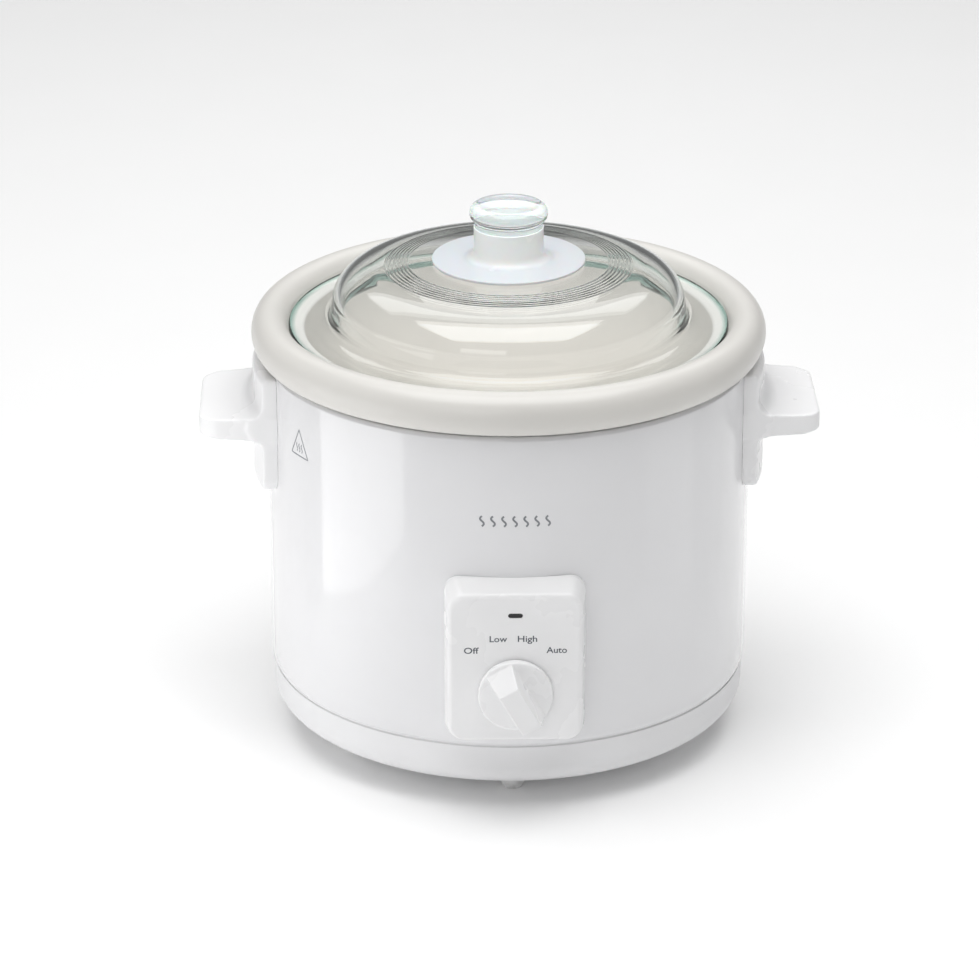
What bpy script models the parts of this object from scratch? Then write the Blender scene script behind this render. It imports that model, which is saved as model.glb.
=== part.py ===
"""A round table-top slow cooker: steel housing, lift-out stoneware pot, glass lid.

Metres, +Z up. The table is z = 0 and the control panel faces -Y. Each piece is built round the
pot's axis, which stands a little behind the origin so that the origin is the middle of the footprint.
"""

import math

import bmesh
import bpy
from mathutils import Matrix

MM = 0.001
GAP = 0.3 * MM  # between pieces that touch

# Roundness: every large turned piece has the same facets, so that gaps between them stay even.
BODY_FACETS = 40
SMALL_FACETS = 12
KNOB_FACETS = 32

# Housing shell
BODY_RADIUS = 141.7 * MM
BODY_HEIGHT = 232.1 * MM  # top of the shell above the table
SHELL_SHEET = 0.6 * MM
SHELL_BOTTOM = 43.0 * MM
SHELL_TUCK = 1.1 * MM  # how far the bottom edge turns in
SHELL_TUCK_HEIGHT = 9.0 * MM
SHELL_SHOULDER = 2.6 * MM
SHELL_FLANGE = 8.0 * MM

# Base tray, feet and bottom plate
TRAY_GROOVE = 1.5 * MM
TRAY_INSET = 1.8 * MM
TRAY_WALL = 2.5 * MM
TRAY_SPIGOT = 8.0 * MM
TRAY_FLOOR = 8.0 * MM
TRAY_SIDE_BOTTOM = 28.0 * MM
TRAY_SLOPE_START = 28.7 * MM  # inset of the flat underside from the shell
TRAY_SLOPE_END = 13.0 * MM
TRAY_SLOPE_RISE = 6.4 * MM
TRAY_OPENING_INSET = 44.7 * MM
FOOT_COUNT = 6
FOOT_RING_INSET = 36.7 * MM
FOOT_RADIUS = 7.5 * MM
FOOT_TIP_RADIUS = 5.6 * MM
FOOT_STEM_RADIUS = 2.4 * MM
FOOT_STEM_RISE = 2.6 * MM  # above the tray's floor
PLATE_SHEET = 1.0 * MM
PLATE_LAP = 3.6 * MM
SHIELD_SHEET = 0.8 * MM
SHIELD_HEIGHT = 40.0 * MM
SHIELD_INSET = 30.0 * MM
POST_COUNT = 3
POST_RING_RADIUS = 70.0 * MM
POST_RADIUS = 4.0 * MM
POST_SHOULDER_RADIUS = 5.5 * MM
POST_BORE_DEPTH = 14.0 * MM

# Screws
SCREW_RADIUS = 1.8 * MM
SCREW_CLEARANCE = 0.4 * MM
SCREW_HEAD_RADIUS = 3.8 * MM
SCREW_HEAD_HEIGHT = 2.2 * MM
BASE_SCREW_LENGTH = 12.0 * MM
HANDLE_SCREW_LENGTH = 16.0 * MM

# Stoneware pot
RIM_OVERHANG = 8.3 * MM  # past the shell
RIM_HALF_WIDTH = 11.0 * MM
RIM_HALF_HEIGHT = 12.5 * MM
LID_SEAT_WIDTH = 21.2 * MM  # from the rim's outside to the lid recess
LID_SEAT_DEPTH = 13.7 * MM  # from the rim's crest to the ledge
POT_WALL_INSET = 17.0 * MM  # outside of the pot from the outside of the shell, under the rim
POT_WALL = 7.0 * MM
POT_TAPER = math.radians(4.3)
POT_CORNER_RADIUS = 28.0 * MM
POT_BOTTOM = 78.0 * MM
POT_FILLET = 3.0 * MM
POT_MOUTH_ROUND = 2.0 * MM

# Liner and heater
LINER_CLEARANCE = 2.5 * MM
LINER_SHEET = 0.8 * MM
LINER_FLARE = 4.0 * MM
LINER_FLANGE_INSET = 2.4 * MM
HEATER_BOTTOM = 108.0 * MM
HEATER_HEIGHT = 42.0 * MM
HEATER_THICKNESS = 2.0 * MM
HEATER_SLOT = 12.0 * MM
CLAMP_SIZE = (26.0 * MM, 2.0 * MM, 16.0 * MM)
THERMOSTAT_RADIUS = 9.0 * MM
THERMOSTAT_FLANGE = 12.0 * MM
THERMOSTAT_HEIGHT = 10.0 * MM
FUSE_RADIUS = 2.2 * MM
FUSE_LENGTH = 16.0 * MM

# Glass lid
LID_PLAY = 0.5 * MM
LID_FLANGE_THICKNESS = 5.5 * MM
LID_FLANGE_WIDTH = 12.0 * MM
LID_FLARE_WIDTH = 12.3 * MM
LID_FLARE_RISE = 7.5 * MM
LID_WALL_RISE = 5.0 * MM
LID_WALL_LEAN = 1.5 * MM
LID_SHOULDER_WIDTH = 28.5 * MM
LID_SHOULDER_RISE = 20.5 * MM
LID_CROWN_RADIUS = 57.7 * MM
LID_CROWN_RISE = 3.0 * MM
LID_GLASS = 4.6 * MM
SEAT_RADIUS = 44.6 * MM
SEAT_THICKNESS = 1.7 * MM
KNOB_STEM_RADIUS = 19.7 * MM
KNOB_STEM_HEIGHT = 22.0 * MM
KNOB_BEAD_RADIUS = 22.9 * MM
KNOB_BEAD_HEIGHT = 10.4 * MM
KNOB_DISH = 1.6 * MM

# Handles
GRIP_DEPTH = 38.9 * MM  # past the shell
GRIP_WIDTH = 86.0 * MM  # at the root
GRIP_NARROWING = 8.0 * MM  # how much narrower the outer end is
GRIP_TOP_DROP = 26.1 * MM  # below the shell's top
GRIP_ROOT_THICKNESS = 14.5 * MM
GRIP_END_THICKNESS = 11.0 * MM
GRIP_TOP_FALL = 2.1 * MM  # of the top face, from root to end
GRIP_CORNER = 12.0 * MM
GRIP_EDGE = 3.0 * MM
BRACKET_THICKNESS = 8.1 * MM
BRACKET_TOP_DROP = 2.0 * MM
BRACKET_HEIGHT = 71.0 * MM
BRACKET_CORNER = 10.0 * MM
HANDLE_SCREW_SPREAD = 26.0 * MM

# Control panel
PANEL_DEPTH = 12.3 * MM  # face in front of the shell
PANEL_WIDTH = 80.0 * MM
PANEL_BOTTOM = 50.0 * MM
PANEL_HEIGHT = 98.0 * MM
PANEL_TOP_SLOPE = 6.5 * MM
PANEL_SIDE_DRAFT = 2.2 * MM
PANEL_CORNER = 9.5 * MM
PANEL_EDGE = 1.6 * MM
PANEL_WALL = 2.2 * MM
PANEL_SCREW_INSET = 9.5 * MM
PANEL_SCREW_HEIGHT = 103.0 * MM
BOSS_RADIUS = 3.6 * MM
LENS_HEIGHT = 129.7 * MM
LENS_SLOT = (8.4 * MM, 3.0 * MM)
LENS_FLANGE = 1.8 * MM
LENS_FLANGE_THICKNESS = 1.4 * MM
LAMP_RADIUS = 2.6 * MM
LAMP_SEAT = 3.0 * MM  # depth in the lamp's holder
LAMP_HOLDER = (12.0 * MM, 7.0 * MM, 10.0 * MM)

# Heat selector
DIAL_HEIGHT = 81.8 * MM
DIAL_RADIUS = 21.3 * MM
DIAL_DISC = 4.4 * MM
DIAL_STAND_OFF = 0.5 * MM
DIAL_REACH = 17.0 * MM  # front of the grip bar from the panel's face
DIAL_BAR_WIDTH = 17.0 * MM
DIAL_BAR_TOP_WIDTH = 12.0 * MM
DIAL_BAR_SLOPE = 11.5 * MM  # length of the pointer end's slope
DIAL_OFF_ANGLE = math.radians(30.0)  # the pointer's turn to the left of 12 o'clock
SPINDLE_RADIUS = 3.0 * MM
SPINDLE_DEPTH = 10.0 * MM  # into the knob, from the panel's face
SWITCH_SIZE = (28.0 * MM, 17.0 * MM, 28.0 * MM)
BUSHING_RADIUS = 4.5 * MM
BUSHING_STAND = 3.3 * MM  # past the outside of the shell
NUT_RADIUS = 7.6 * MM
NUT_HEIGHT = 2.4 * MM

# Mains inlet and wiring
GLAND_HEIGHT = 62.0 * MM
GLAND_RADIUS = 8.0 * MM
GLAND_BARREL = 6.0 * MM
GLAND_BORE = 3.9 * MM
GLAND_REACH = 4.5 * MM  # outside the shell
GLAND_TAIL = 9.0 * MM  # inside the shell
TERMINAL_SIZE = (30.0 * MM, 14.0 * MM, 12.0 * MM)
TERMINAL_PLACE = 62.0 * MM  # behind the pot's axis
WIRE_RADIUS = 1.2 * MM
WIRE_ROOM = 2.2 * MM  # between a wire and a wall it runs along

# Worked out from the sizes above
SHELL_INSIDE = BODY_RADIUS - SHELL_SHEET
FACET_FLAT = math.cos(math.pi / BODY_FACETS)  # a facet's middle, as a share of its corners' radius
RIM_RADIUS = BODY_RADIUS + RIM_OVERHANG
LINER_TOP = BODY_HEIGHT + GAP + LINER_SHEET
RIM_BOTTOM = LINER_TOP + GAP
RIM_MIDDLE = RIM_BOTTOM + RIM_HALF_HEIGHT
RIM_CREST = RIM_MIDDLE + RIM_HALF_HEIGHT
RIM_CENTRE_RADIUS = RIM_RADIUS - RIM_HALF_WIDTH
LID_RECESS_RADIUS = RIM_RADIUS - LID_SEAT_WIDTH
LEDGE = RIM_CREST - LID_SEAT_DEPTH
LID_BOTTOM = LEDGE + GAP
LID_RADIUS = LID_RECESS_RADIUS - LID_PLAY
POT_WALL_RADIUS = BODY_RADIUS - POT_WALL_INSET
POT_CORNER_Z = POT_BOTTOM + POT_CORNER_RADIUS
POT_WALL_TOP = RIM_BOTTOM - POT_FILLET
POT_CORNER_X = POT_WALL_RADIUS - (
    POT_CORNER_RADIUS + (POT_WALL_TOP - POT_CORNER_Z) * math.sin(POT_TAPER)
) / math.cos(POT_TAPER)
LINER_OFFSET = LINER_CLEARANCE + LINER_SHEET
LINER_UNDERSIDE = POT_BOTTOM - LINER_OFFSET
TRAY_RADIUS = BODY_RADIUS - TRAY_INSET
TRAY_TOP = SHELL_BOTTOM - TRAY_GROOVE
TRAY_OPENING = BODY_RADIUS - TRAY_OPENING_INSET
TRAY_FLOOR_TOP = TRAY_FLOOR + TRAY_WALL
PLATE_BOTTOM = TRAY_FLOOR_TOP + GAP
PLATE_TOP = PLATE_BOTTOM + PLATE_SHEET
FOOT_RING = BODY_RADIUS - FOOT_RING_INSET
HANDLE_REACH = BODY_RADIUS + GRIP_DEPTH
GRIP_TOP = BODY_HEIGHT - GRIP_TOP_DROP
HANDLE_SCREW_HEIGHT = GRIP_TOP - GRIP_ROOT_THICKNESS / 2
PANEL_FACE = BODY_RADIUS + PANEL_DEPTH
PANEL_TOP = PANEL_BOTTOM + PANEL_HEIGHT
PANEL_SCREW_X = PANEL_WIDTH / 2 - PANEL_SCREW_INSET
AXIS_Y = (PANEL_FACE + DIAL_REACH - RIM_RADIUS) / 2

part_name = "slow_cooker"


# ---------------------------------------------------------------- scene, materials, helpers


def clear_scene():
    for obj in list(bpy.data.objects):
        bpy.data.objects.remove(obj, do_unlink=True)


def new_collection(name):
    collection = bpy.data.collections.new(name)
    bpy.context.scene.collection.children.link(collection)
    return collection


def material(name, colour, roughness, metallic=0.0, transmission=0.0):
    """A plain finish with the given sRGB colour."""
    made = bpy.data.materials.new(name)
    made.use_nodes = True
    linear = [((c + 0.055) / 1.055) ** 2.4 if c > 0.04 else c / 12.92 for c in colour]
    made.diffuse_color = (*linear, 1.0)
    shader = made.node_tree.nodes["Principled BSDF"]
    shader.inputs["Base Color"].default_value = (*linear, 1.0)
    shader.inputs["Roughness"].default_value = roughness
    shader.inputs["Metallic"].default_value = metallic
    shader.inputs["Transmission Weight"].default_value = transmission
    return made


clear_scene()
parts = new_collection(part_name)
cutters = new_collection("cutters")

WHITE_ENAMEL = ("white_enamel", (0.93, 0.93, 0.93), 0.15)
WHITE_PLASTIC = ("white_plastic", (0.92, 0.92, 0.92), 0.3)
STONEWARE = ("cream_glaze", (0.9, 0.89, 0.86), 0.3)
LID_GLASS_FINISH = ("lid_glass_clear", (0.93, 0.97, 0.96), 0.02, 0.0, 1.0)
MILKY = ("milky_resin", (0.9, 0.93, 0.95), 0.25)
STEEL = ("zinc_steel", (0.7, 0.71, 0.72), 0.35, 1.0)
ALUMINIUM = ("liner_aluminium", (0.75, 0.75, 0.74), 0.3, 1.0)
MICA = ("heater_sleeve", (0.72, 0.62, 0.42), 0.6)
BLACK_PLASTIC = ("black_plastic", (0.06, 0.06, 0.07), 0.4)
BAKELITE = ("brown_bakelite", (0.25, 0.16, 0.1), 0.45)
SMOKED = ("smoked_lens", (0.05, 0.05, 0.06), 0.1)
AMBER = ("lamp_glass", (0.9, 0.55, 0.25), 0.1)


def empty(name, parent=None, location=(0, 0, 0), rotation=(0, 0, 0)):
    obj = bpy.data.objects.new(name, None)
    parts.objects.link(obj)
    obj.parent = parent
    obj.location = location
    obj.rotation_euler = rotation
    return obj


def place(obj, parent, location=(0, 0, 0), rotation=(0, 0, 0)):
    obj.parent = parent
    obj.location = location
    obj.rotation_euler = rotation
    return obj


def shown(name, mesh, finish):
    """A visible piece, with its own material."""
    mesh.materials.clear()
    mesh.materials.append(material(name + "_" + finish[0], *finish[1:]))
    obj = bpy.data.objects.new(name, mesh)
    parts.objects.link(obj)
    return obj


def cutter(mesh, parent, location=(0, 0, 0), rotation=(0, 0, 0)):
    """A hidden solid that shapes another."""
    obj = bpy.data.objects.new(mesh.name, mesh)
    cutters.objects.link(obj)
    obj.hide_render = True
    obj.display_type = "WIRE"
    return place(obj, parent, location, rotation)


def boolean(obj, other, operation="DIFFERENCE"):
    step = obj.modifiers.new(operation.title(), "BOOLEAN")
    step.operation = operation
    step.solver = "EXACT"
    step.object = other


def mesh_from(name, build):
    mesh = bpy.data.meshes.new(name)
    bm = bmesh.new()
    build(bm)
    bmesh.ops.recalc_face_normals(bm, faces=bm.faces)
    bm.to_mesh(mesh)
    bm.free()
    return mesh


def arc(centre, radius, start, end, steps, height=None):
    """Points on an arc, or on an ellipse where height differs from radius; angles in degrees."""
    height = radius if height is None else height
    angles = [math.radians(start + (end - start) * i / steps) for i in range(steps + 1)]
    return [(centre[0] + radius * math.cos(a), centre[1] + height * math.sin(a)) for a in angles]


def bend(start, corner, end, steps):
    """Points on a curve that leaves start and reaches end along the two sides of a corner."""
    points = []
    for i in range(steps + 1):
        t = i / steps
        weights = ((1 - t) ** 2, 2 * t * (1 - t), t * t)
        points.append(
            tuple(sum(w * p[k] for w, p in zip(weights, (start, corner, end))) for k in (0, 1))
        )
    return points


def profile_mesh(name, profile, closed):
    """The (radius, height) line that a Screw turns; it runs down its outer side."""
    mesh = bpy.data.meshes.new(name)
    edges = [(i, i + 1) for i in range(len(profile) - 1)]
    if closed:
        edges.append((len(profile) - 1, 0))
    mesh.from_pydata([(r, 0, z) for r, z in profile], edges, [])
    return mesh


def turn(obj, facets):
    screw = obj.modifiers.new("Screw", "SCREW")
    screw.axis = "Z"
    screw.steps = screw.render_steps = facets
    screw.use_merge_vertices = True
    screw.merge_threshold = 0.0001
    screw.use_smooth_shade = True
    return obj


def turned(name, profile, finish, facets=BODY_FACETS, closed=False):
    return turn(shown(name, profile_mesh(name, profile, closed), finish), facets)


def turned_cutter(name, profile, parent, facets=BODY_FACETS, closed=False, **where):
    return turn(cutter(profile_mesh(name, profile, closed), parent, **where), facets)


def cylinder_mesh(name, radius, length, facets, twist=0.0):
    """A cylinder on local Z from 0 to length, its facets turned by twist."""
    middle = Matrix.Translation((0, 0, length / 2)) @ Matrix.Rotation(twist, 4, "Z")
    return mesh_from(
        name,
        lambda bm: bmesh.ops.create_cone(
            bm, cap_ends=True, segments=facets, radius1=radius, radius2=radius, depth=length,
            matrix=middle,
        ),
    )


def drill(obj, radius, start, length, parent, towards=(0, 0, 0), facets=SMALL_FACETS):
    """A round hole from start, along local Z turned by towards."""
    twist = 0.6 * math.pi / facets  # keeps the hole's corners off the seams between facets
    mesh = cylinder_mesh(obj.name + "_hole", radius, length, facets, twist)
    boolean(obj, cutter(mesh, parent, start, towards))


def block_mesh(name, size, edge=0.0):
    """A box centred on the origin, its edges rounded."""

    def build(bm):
        bmesh.ops.create_cube(bm, size=1.0, matrix=Matrix.Diagonal((*size, 1)))
        if edge:
            bmesh.ops.bevel(bm, geom=bm.edges[:], offset=edge, segments=2, profile=0.5,
                            affect="EDGES")

    return mesh_from(name, build)


def outline_mesh(name, points, thickness):
    """A flat outline in local XY, thickened evenly to both sides, as a welded mesh."""
    curve = bpy.data.curves.new(name, "CURVE")
    curve.dimensions = "2D"
    curve.fill_mode = "BOTH"
    curve.extrude = thickness / 2
    spline = curve.splines.new("POLY")
    spline.points.add(len(points) - 1)
    for point, (x, y) in zip(spline.points, points):
        point.co = (x, y, 0, 1)
    spline.use_cyclic_u = True
    flat = bpy.data.objects.new(name + "_outline", curve)
    cutters.objects.link(flat)
    bpy.context.view_layer.update()
    graph = bpy.context.evaluated_depsgraph_get()
    mesh = bpy.data.meshes.new_from_object(flat.evaluated_get(graph))
    bpy.data.objects.remove(flat, do_unlink=True)
    mesh.name = name
    bm = bmesh.new()
    bm.from_mesh(mesh)
    bmesh.ops.remove_doubles(bm, verts=bm.verts, dist=0.00001)
    bmesh.ops.recalc_face_normals(bm, faces=bm.faces)
    bm.to_mesh(mesh)
    bm.free()
    return mesh


def rounded_outline(left, right, bottom, top, corners, steps):
    """A rectangle with its own corner radius at each of left-bottom, right-bottom, right-top, left-top."""
    spots = ((left, bottom, 180), (right, bottom, 270), (right, top, 0), (left, top, 90))
    points = []
    for (x, y, start), radius in zip(spots, corners):
        inward_x = radius if x == left else -radius
        inward_y = radius if y == bottom else -radius
        points += arc((x + inward_x, y + inward_y), radius, start, start + 90, steps)
    return points


def pot_surface(offset, steps):
    """The pot's outside from its wall under the rim to the axis, moved outwards by offset."""
    radius = POT_CORNER_RADIUS + offset
    tilt = math.degrees(POT_TAPER)
    curve = arc((POT_CORNER_X, POT_CORNER_Z), radius, -tilt, -90, steps)
    return [*curve, (0, POT_BOTTOM - offset)]


def pot_wall_radius(height, offset):
    """Radius of the tapered wall at a height, moved outwards by offset."""
    rise = (height - POT_CORNER_Z) * math.sin(POT_TAPER)
    return POT_CORNER_X + (POT_CORNER_RADIUS + offset + rise) / math.cos(POT_TAPER)


def flat_inside_shell(half_width):
    """How far from the axis a flat of this half width clears the shell's facets."""
    return math.sqrt((SHELL_INSIDE * FACET_FLAT) ** 2 - half_width**2) - GAP


def screw_profile(length):
    """A pan-head screw: its head hangs below z = 0 and its shank rises to length."""
    point = 1.2 * MM
    return [
        (0, length),
        (SCREW_RADIUS - point / 2, length),
        (SCREW_RADIUS, length - point),
        (SCREW_RADIUS, 0),
        (SCREW_HEAD_RADIUS, 0),
        (SCREW_HEAD_RADIUS, -SCREW_HEAD_HEIGHT / 2),
        (SCREW_HEAD_RADIUS * 0.7, -SCREW_HEAD_HEIGHT),
        (0, -SCREW_HEAD_HEIGHT),
    ]


def around(count, radius, height, first=0.0):
    """Places spaced evenly on a ring, the first at an angle in degrees from the front."""
    for i in range(count):
        angle = math.radians(first + 360 * i / count)
        yield i + 1, (radius * math.sin(angle), -radius * math.cos(angle), height)


AIM_FRONT = (math.radians(90), 0, 0)  # turns local Z to -Y
AIM_REAR = (math.radians(-90), 0, 0)
AIM_RIGHT = (0, math.radians(90), 0)
AIM_LEFT = (0, math.radians(-90), 0)


# ---------------------------------------------------------------- housing


def outer_shell(axis):
    tuck_top = SHELL_BOTTOM + SHELL_TUCK_HEIGHT
    inner_shoulder = SHELL_SHOULDER - SHELL_SHEET
    corner = (BODY_RADIUS - SHELL_SHOULDER, BODY_HEIGHT - SHELL_SHOULDER)
    flange = BODY_RADIUS - SHELL_FLANGE
    profile = [
        (flange, BODY_HEIGHT),
        *arc(corner, SHELL_SHOULDER, 90, 0, 3),
        (BODY_RADIUS, tuck_top),
        (BODY_RADIUS - SHELL_TUCK, SHELL_BOTTOM),
        (SHELL_INSIDE - SHELL_TUCK, SHELL_BOTTOM),
        (SHELL_INSIDE, tuck_top),
        *arc(corner, inner_shoulder, 0, 90, 2),
        (flange, BODY_HEIGHT - SHELL_SHEET),
    ]
    shell = place(turned("outer_shell", profile, WHITE_ENAMEL, closed=True), axis)
    start = SHELL_INSIDE - SHELL_FLANGE
    through = 2 * SHELL_FLANGE
    for radius, height in ((BUSHING_RADIUS + SCREW_CLEARANCE, DIAL_HEIGHT),
                           (LAMP_RADIUS + SCREW_CLEARANCE, LENS_HEIGHT)):
        drill(shell, radius, (0, -start, height), through, axis, AIM_FRONT)
    drill(shell, GLAND_BARREL + GAP, (0, start, GLAND_HEIGHT), through, axis, AIM_REAR,
          2 * SMALL_FACETS)
    for side in (-1, 1):
        at = (side * PANEL_SCREW_X, -start, PANEL_SCREW_HEIGHT)
        drill(shell, SCREW_RADIUS + SCREW_CLEARANCE, at, through, axis, AIM_FRONT)
        for y in (-HANDLE_SCREW_SPREAD, HANDLE_SCREW_SPREAD):
            at = (side * start, y, HANDLE_SCREW_HEIGHT)
            aim = AIM_RIGHT if side > 0 else AIM_LEFT
            drill(shell, SCREW_RADIUS + SCREW_CLEARANCE, at, through, axis, aim)


def base_tray(axis):
    spigot = BODY_RADIUS - SHELL_TUCK - SHELL_SHEET - 2 * GAP
    slope_start = BODY_RADIUS - TRAY_SLOPE_START
    slope_end = BODY_RADIUS - TRAY_SLOPE_END
    slope_top = TRAY_FLOOR + TRAY_SLOPE_RISE
    inside = TRAY_RADIUS - TRAY_WALL
    outside_curve = bend((TRAY_RADIUS, TRAY_SIDE_BOTTOM), (TRAY_RADIUS, slope_top + TRAY_WALL * 2),
                         (slope_end, slope_top), 3)
    inside_curve = bend((slope_end, slope_top + TRAY_WALL), (inside, slope_top + TRAY_WALL * 3),
                        (inside, TRAY_SIDE_BOTTOM), 3)
    profile = [
        (spigot, TRAY_TOP + TRAY_SPIGOT),
        (spigot, TRAY_TOP),
        (TRAY_RADIUS, TRAY_TOP),
        *outside_curve,
        (slope_start, TRAY_FLOOR),
        (TRAY_OPENING, TRAY_FLOOR),
        (TRAY_OPENING, TRAY_FLOOR_TOP),
        (slope_start, TRAY_FLOOR_TOP),
        *inside_curve,
        (inside, TRAY_TOP + TRAY_SPIGOT),
    ]
    tray = place(turned("base_tray", profile, WHITE_PLASTIC, closed=True), axis)
    for _, (x, y, z) in around(FOOT_COUNT, FOOT_RING, TRAY_FLOOR - TRAY_WALL):
        drill(tray, FOOT_STEM_RADIUS + GAP, (x, y, z), 3 * TRAY_WALL, axis)


def feet(axis):
    top = TRAY_FLOOR - GAP
    profile = [
        (0, TRAY_FLOOR_TOP + FOOT_STEM_RISE),
        (FOOT_STEM_RADIUS, TRAY_FLOOR_TOP + FOOT_STEM_RISE),
        (FOOT_STEM_RADIUS, top),
        (FOOT_RADIUS, top),
        (FOOT_RADIUS, top / 2),
        (FOOT_TIP_RADIUS, 0),
        (0, 0),
    ]
    for number, spot in around(FOOT_COUNT, FOOT_RING, 0):
        place(turned(f"foot_{number}", profile, WHITE_PLASTIC, SMALL_FACETS), axis, spot)


def bottom_plate(axis):
    mesh = cylinder_mesh("bottom_plate", TRAY_OPENING + PLATE_LAP, PLATE_SHEET, BODY_FACETS)
    plate = place(shown("bottom_plate", mesh, STEEL), axis, (0, 0, PLATE_BOTTOM))
    for _, spot in around(POST_COUNT, POST_RING_RADIUS, PLATE_BOTTOM - PLATE_SHEET):
        drill(plate, SCREW_RADIUS + SCREW_CLEARANCE, spot, 3 * PLATE_SHEET, axis)


def heat_shield(axis):
    mesh = cylinder_mesh("heat_shield", BODY_RADIUS - SHIELD_INSET, SHIELD_SHEET, BODY_FACETS)
    shield = place(shown("heat_shield", mesh, STEEL), axis, (0, 0, SHIELD_HEIGHT))
    for _, spot in around(POST_COUNT, POST_RING_RADIUS, SHIELD_HEIGHT - SHIELD_SHEET):
        drill(shield, POST_RADIUS + GAP, spot, 3 * SHIELD_SHEET, axis)


def posts_and_base_screws(axis):
    bottom = PLATE_TOP + GAP
    top = LINER_UNDERSIDE - GAP
    shoulder = SHIELD_HEIGHT - GAP
    bore = SCREW_RADIUS + GAP
    profile = [
        (0, top),
        (POST_RADIUS, top),
        (POST_RADIUS, shoulder),
        (POST_SHOULDER_RADIUS, shoulder),
        (POST_SHOULDER_RADIUS, bottom),
        (bore, bottom),
        (bore, bottom + POST_BORE_DEPTH),
        (0, bottom + POST_BORE_DEPTH),
    ]
    for number, spot in around(POST_COUNT, POST_RING_RADIUS, 0):
        place(turned(f"liner_post_{number}", profile, STEEL, SMALL_FACETS), axis, spot)
    for number, spot in around(POST_COUNT, POST_RING_RADIUS, PLATE_BOTTOM - GAP):
        screw = turned(f"base_screw_{number}", screw_profile(BASE_SCREW_LENGTH), STEEL, SMALL_FACETS)
        place(screw, axis, spot)


# ---------------------------------------------------------------- liner, heater, controls inside


def inner_liner(axis):
    flange = BODY_RADIUS - LINER_FLANGE_INSET
    throat = LINER_TOP - LINER_FLARE
    inner = pot_surface(LINER_CLEARANCE, 4)
    outer = pot_surface(LINER_OFFSET, 4)
    throat_inner = (pot_wall_radius(throat, LINER_CLEARANCE), throat)
    throat_outer = (pot_wall_radius(throat, LINER_OFFSET), throat)
    lip_inner = (throat_inner[0] + LINER_FLARE, LINER_TOP)
    lip_outer = (throat_inner[0] + LINER_FLARE, LINER_TOP - LINER_SHEET)
    profile = [
        *reversed(inner),
        *bend(throat_inner, (throat_inner[0], LINER_TOP), lip_inner, 2),
        (flange, LINER_TOP),
        (flange, LINER_TOP - LINER_SHEET),
        *bend(lip_outer, (throat_outer[0], LINER_TOP - LINER_SHEET), throat_outer, 2),
        *outer,
    ]
    place(turned("inner_liner", profile, ALUMINIUM), axis)


def heater(axis):
    inner = LINER_OFFSET + GAP
    outer = inner + HEATER_THICKNESS
    top = HEATER_BOTTOM + HEATER_HEIGHT
    profile = [
        (pot_wall_radius(top, inner), top),
        (pot_wall_radius(top, outer), top),
        (pot_wall_radius(HEATER_BOTTOM, outer), HEATER_BOTTOM),
        (pot_wall_radius(HEATER_BOTTOM, inner), HEATER_BOTTOM),
    ]
    band = place(turned("heater_band", profile, MICA, closed=True), axis)
    middle = HEATER_BOTTOM + HEATER_HEIGHT / 2
    reach = pot_wall_radius(top, outer)
    slot = block_mesh("heater_slot", (HEATER_SLOT, 8 * HEATER_THICKNESS, 2 * HEATER_HEIGHT))
    boolean(band, cutter(slot, axis, (0, reach, middle)))
    clamp = shown("heater_clamp", block_mesh("heater_clamp", CLAMP_SIZE), STEEL)
    place(clamp, axis, (0, reach + GAP + CLAMP_SIZE[1] / 2, middle))


def thermostat(axis):
    top = LINER_UNDERSIDE - GAP
    bottom = top - THERMOSTAT_HEIGHT
    flange = 1.2 * MM
    profile = [
        (0, top),
        (THERMOSTAT_FLANGE, top),
        (THERMOSTAT_FLANGE, top - flange),
        (THERMOSTAT_RADIUS, top - flange),
        (THERMOSTAT_RADIUS, bottom),
        (0, bottom),
    ]
    place(turned("thermostat", profile, BAKELITE, 2 * SMALL_FACETS), axis, (0, -POST_RING_RADIUS / 2, 0))
    fuse = shown("thermal_fuse", cylinder_mesh("thermal_fuse", FUSE_RADIUS, FUSE_LENGTH, SMALL_FACETS), STEEL)
    at = (-FUSE_LENGTH / 2, POST_RING_RADIUS / 2, LINER_UNDERSIDE - GAP - FUSE_RADIUS)
    place(fuse, axis, at, AIM_RIGHT)


def rotary_switch(axis):
    width, depth, _ = SWITCH_SIZE
    front = flat_inside_shell(width / 2)
    body = shown("rotary_switch", block_mesh("rotary_switch", SWITCH_SIZE), BAKELITE)
    place(body, axis, (0, depth / 2 - front, DIAL_HEIGHT))
    length = BODY_RADIUS + BUSHING_STAND - front + depth / 2
    bushing = cylinder_mesh("bushing", BUSHING_RADIUS, length, SMALL_FACETS)
    start = (0, depth / 2 - front, DIAL_HEIGHT)
    boolean(body, cutter(bushing, axis, start, AIM_FRONT), "UNION")
    nut = shown("switch_nut", cylinder_mesh("switch_nut", NUT_RADIUS, NUT_HEIGHT, 6), STEEL)
    place(nut, axis, (0, -BODY_RADIUS - GAP, DIAL_HEIGHT), AIM_FRONT)
    drill(nut, BUSHING_RADIUS + GAP, (0, -BODY_RADIUS + NUT_HEIGHT, DIAL_HEIGHT),
          4 * NUT_HEIGHT, axis, AIM_FRONT)


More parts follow.
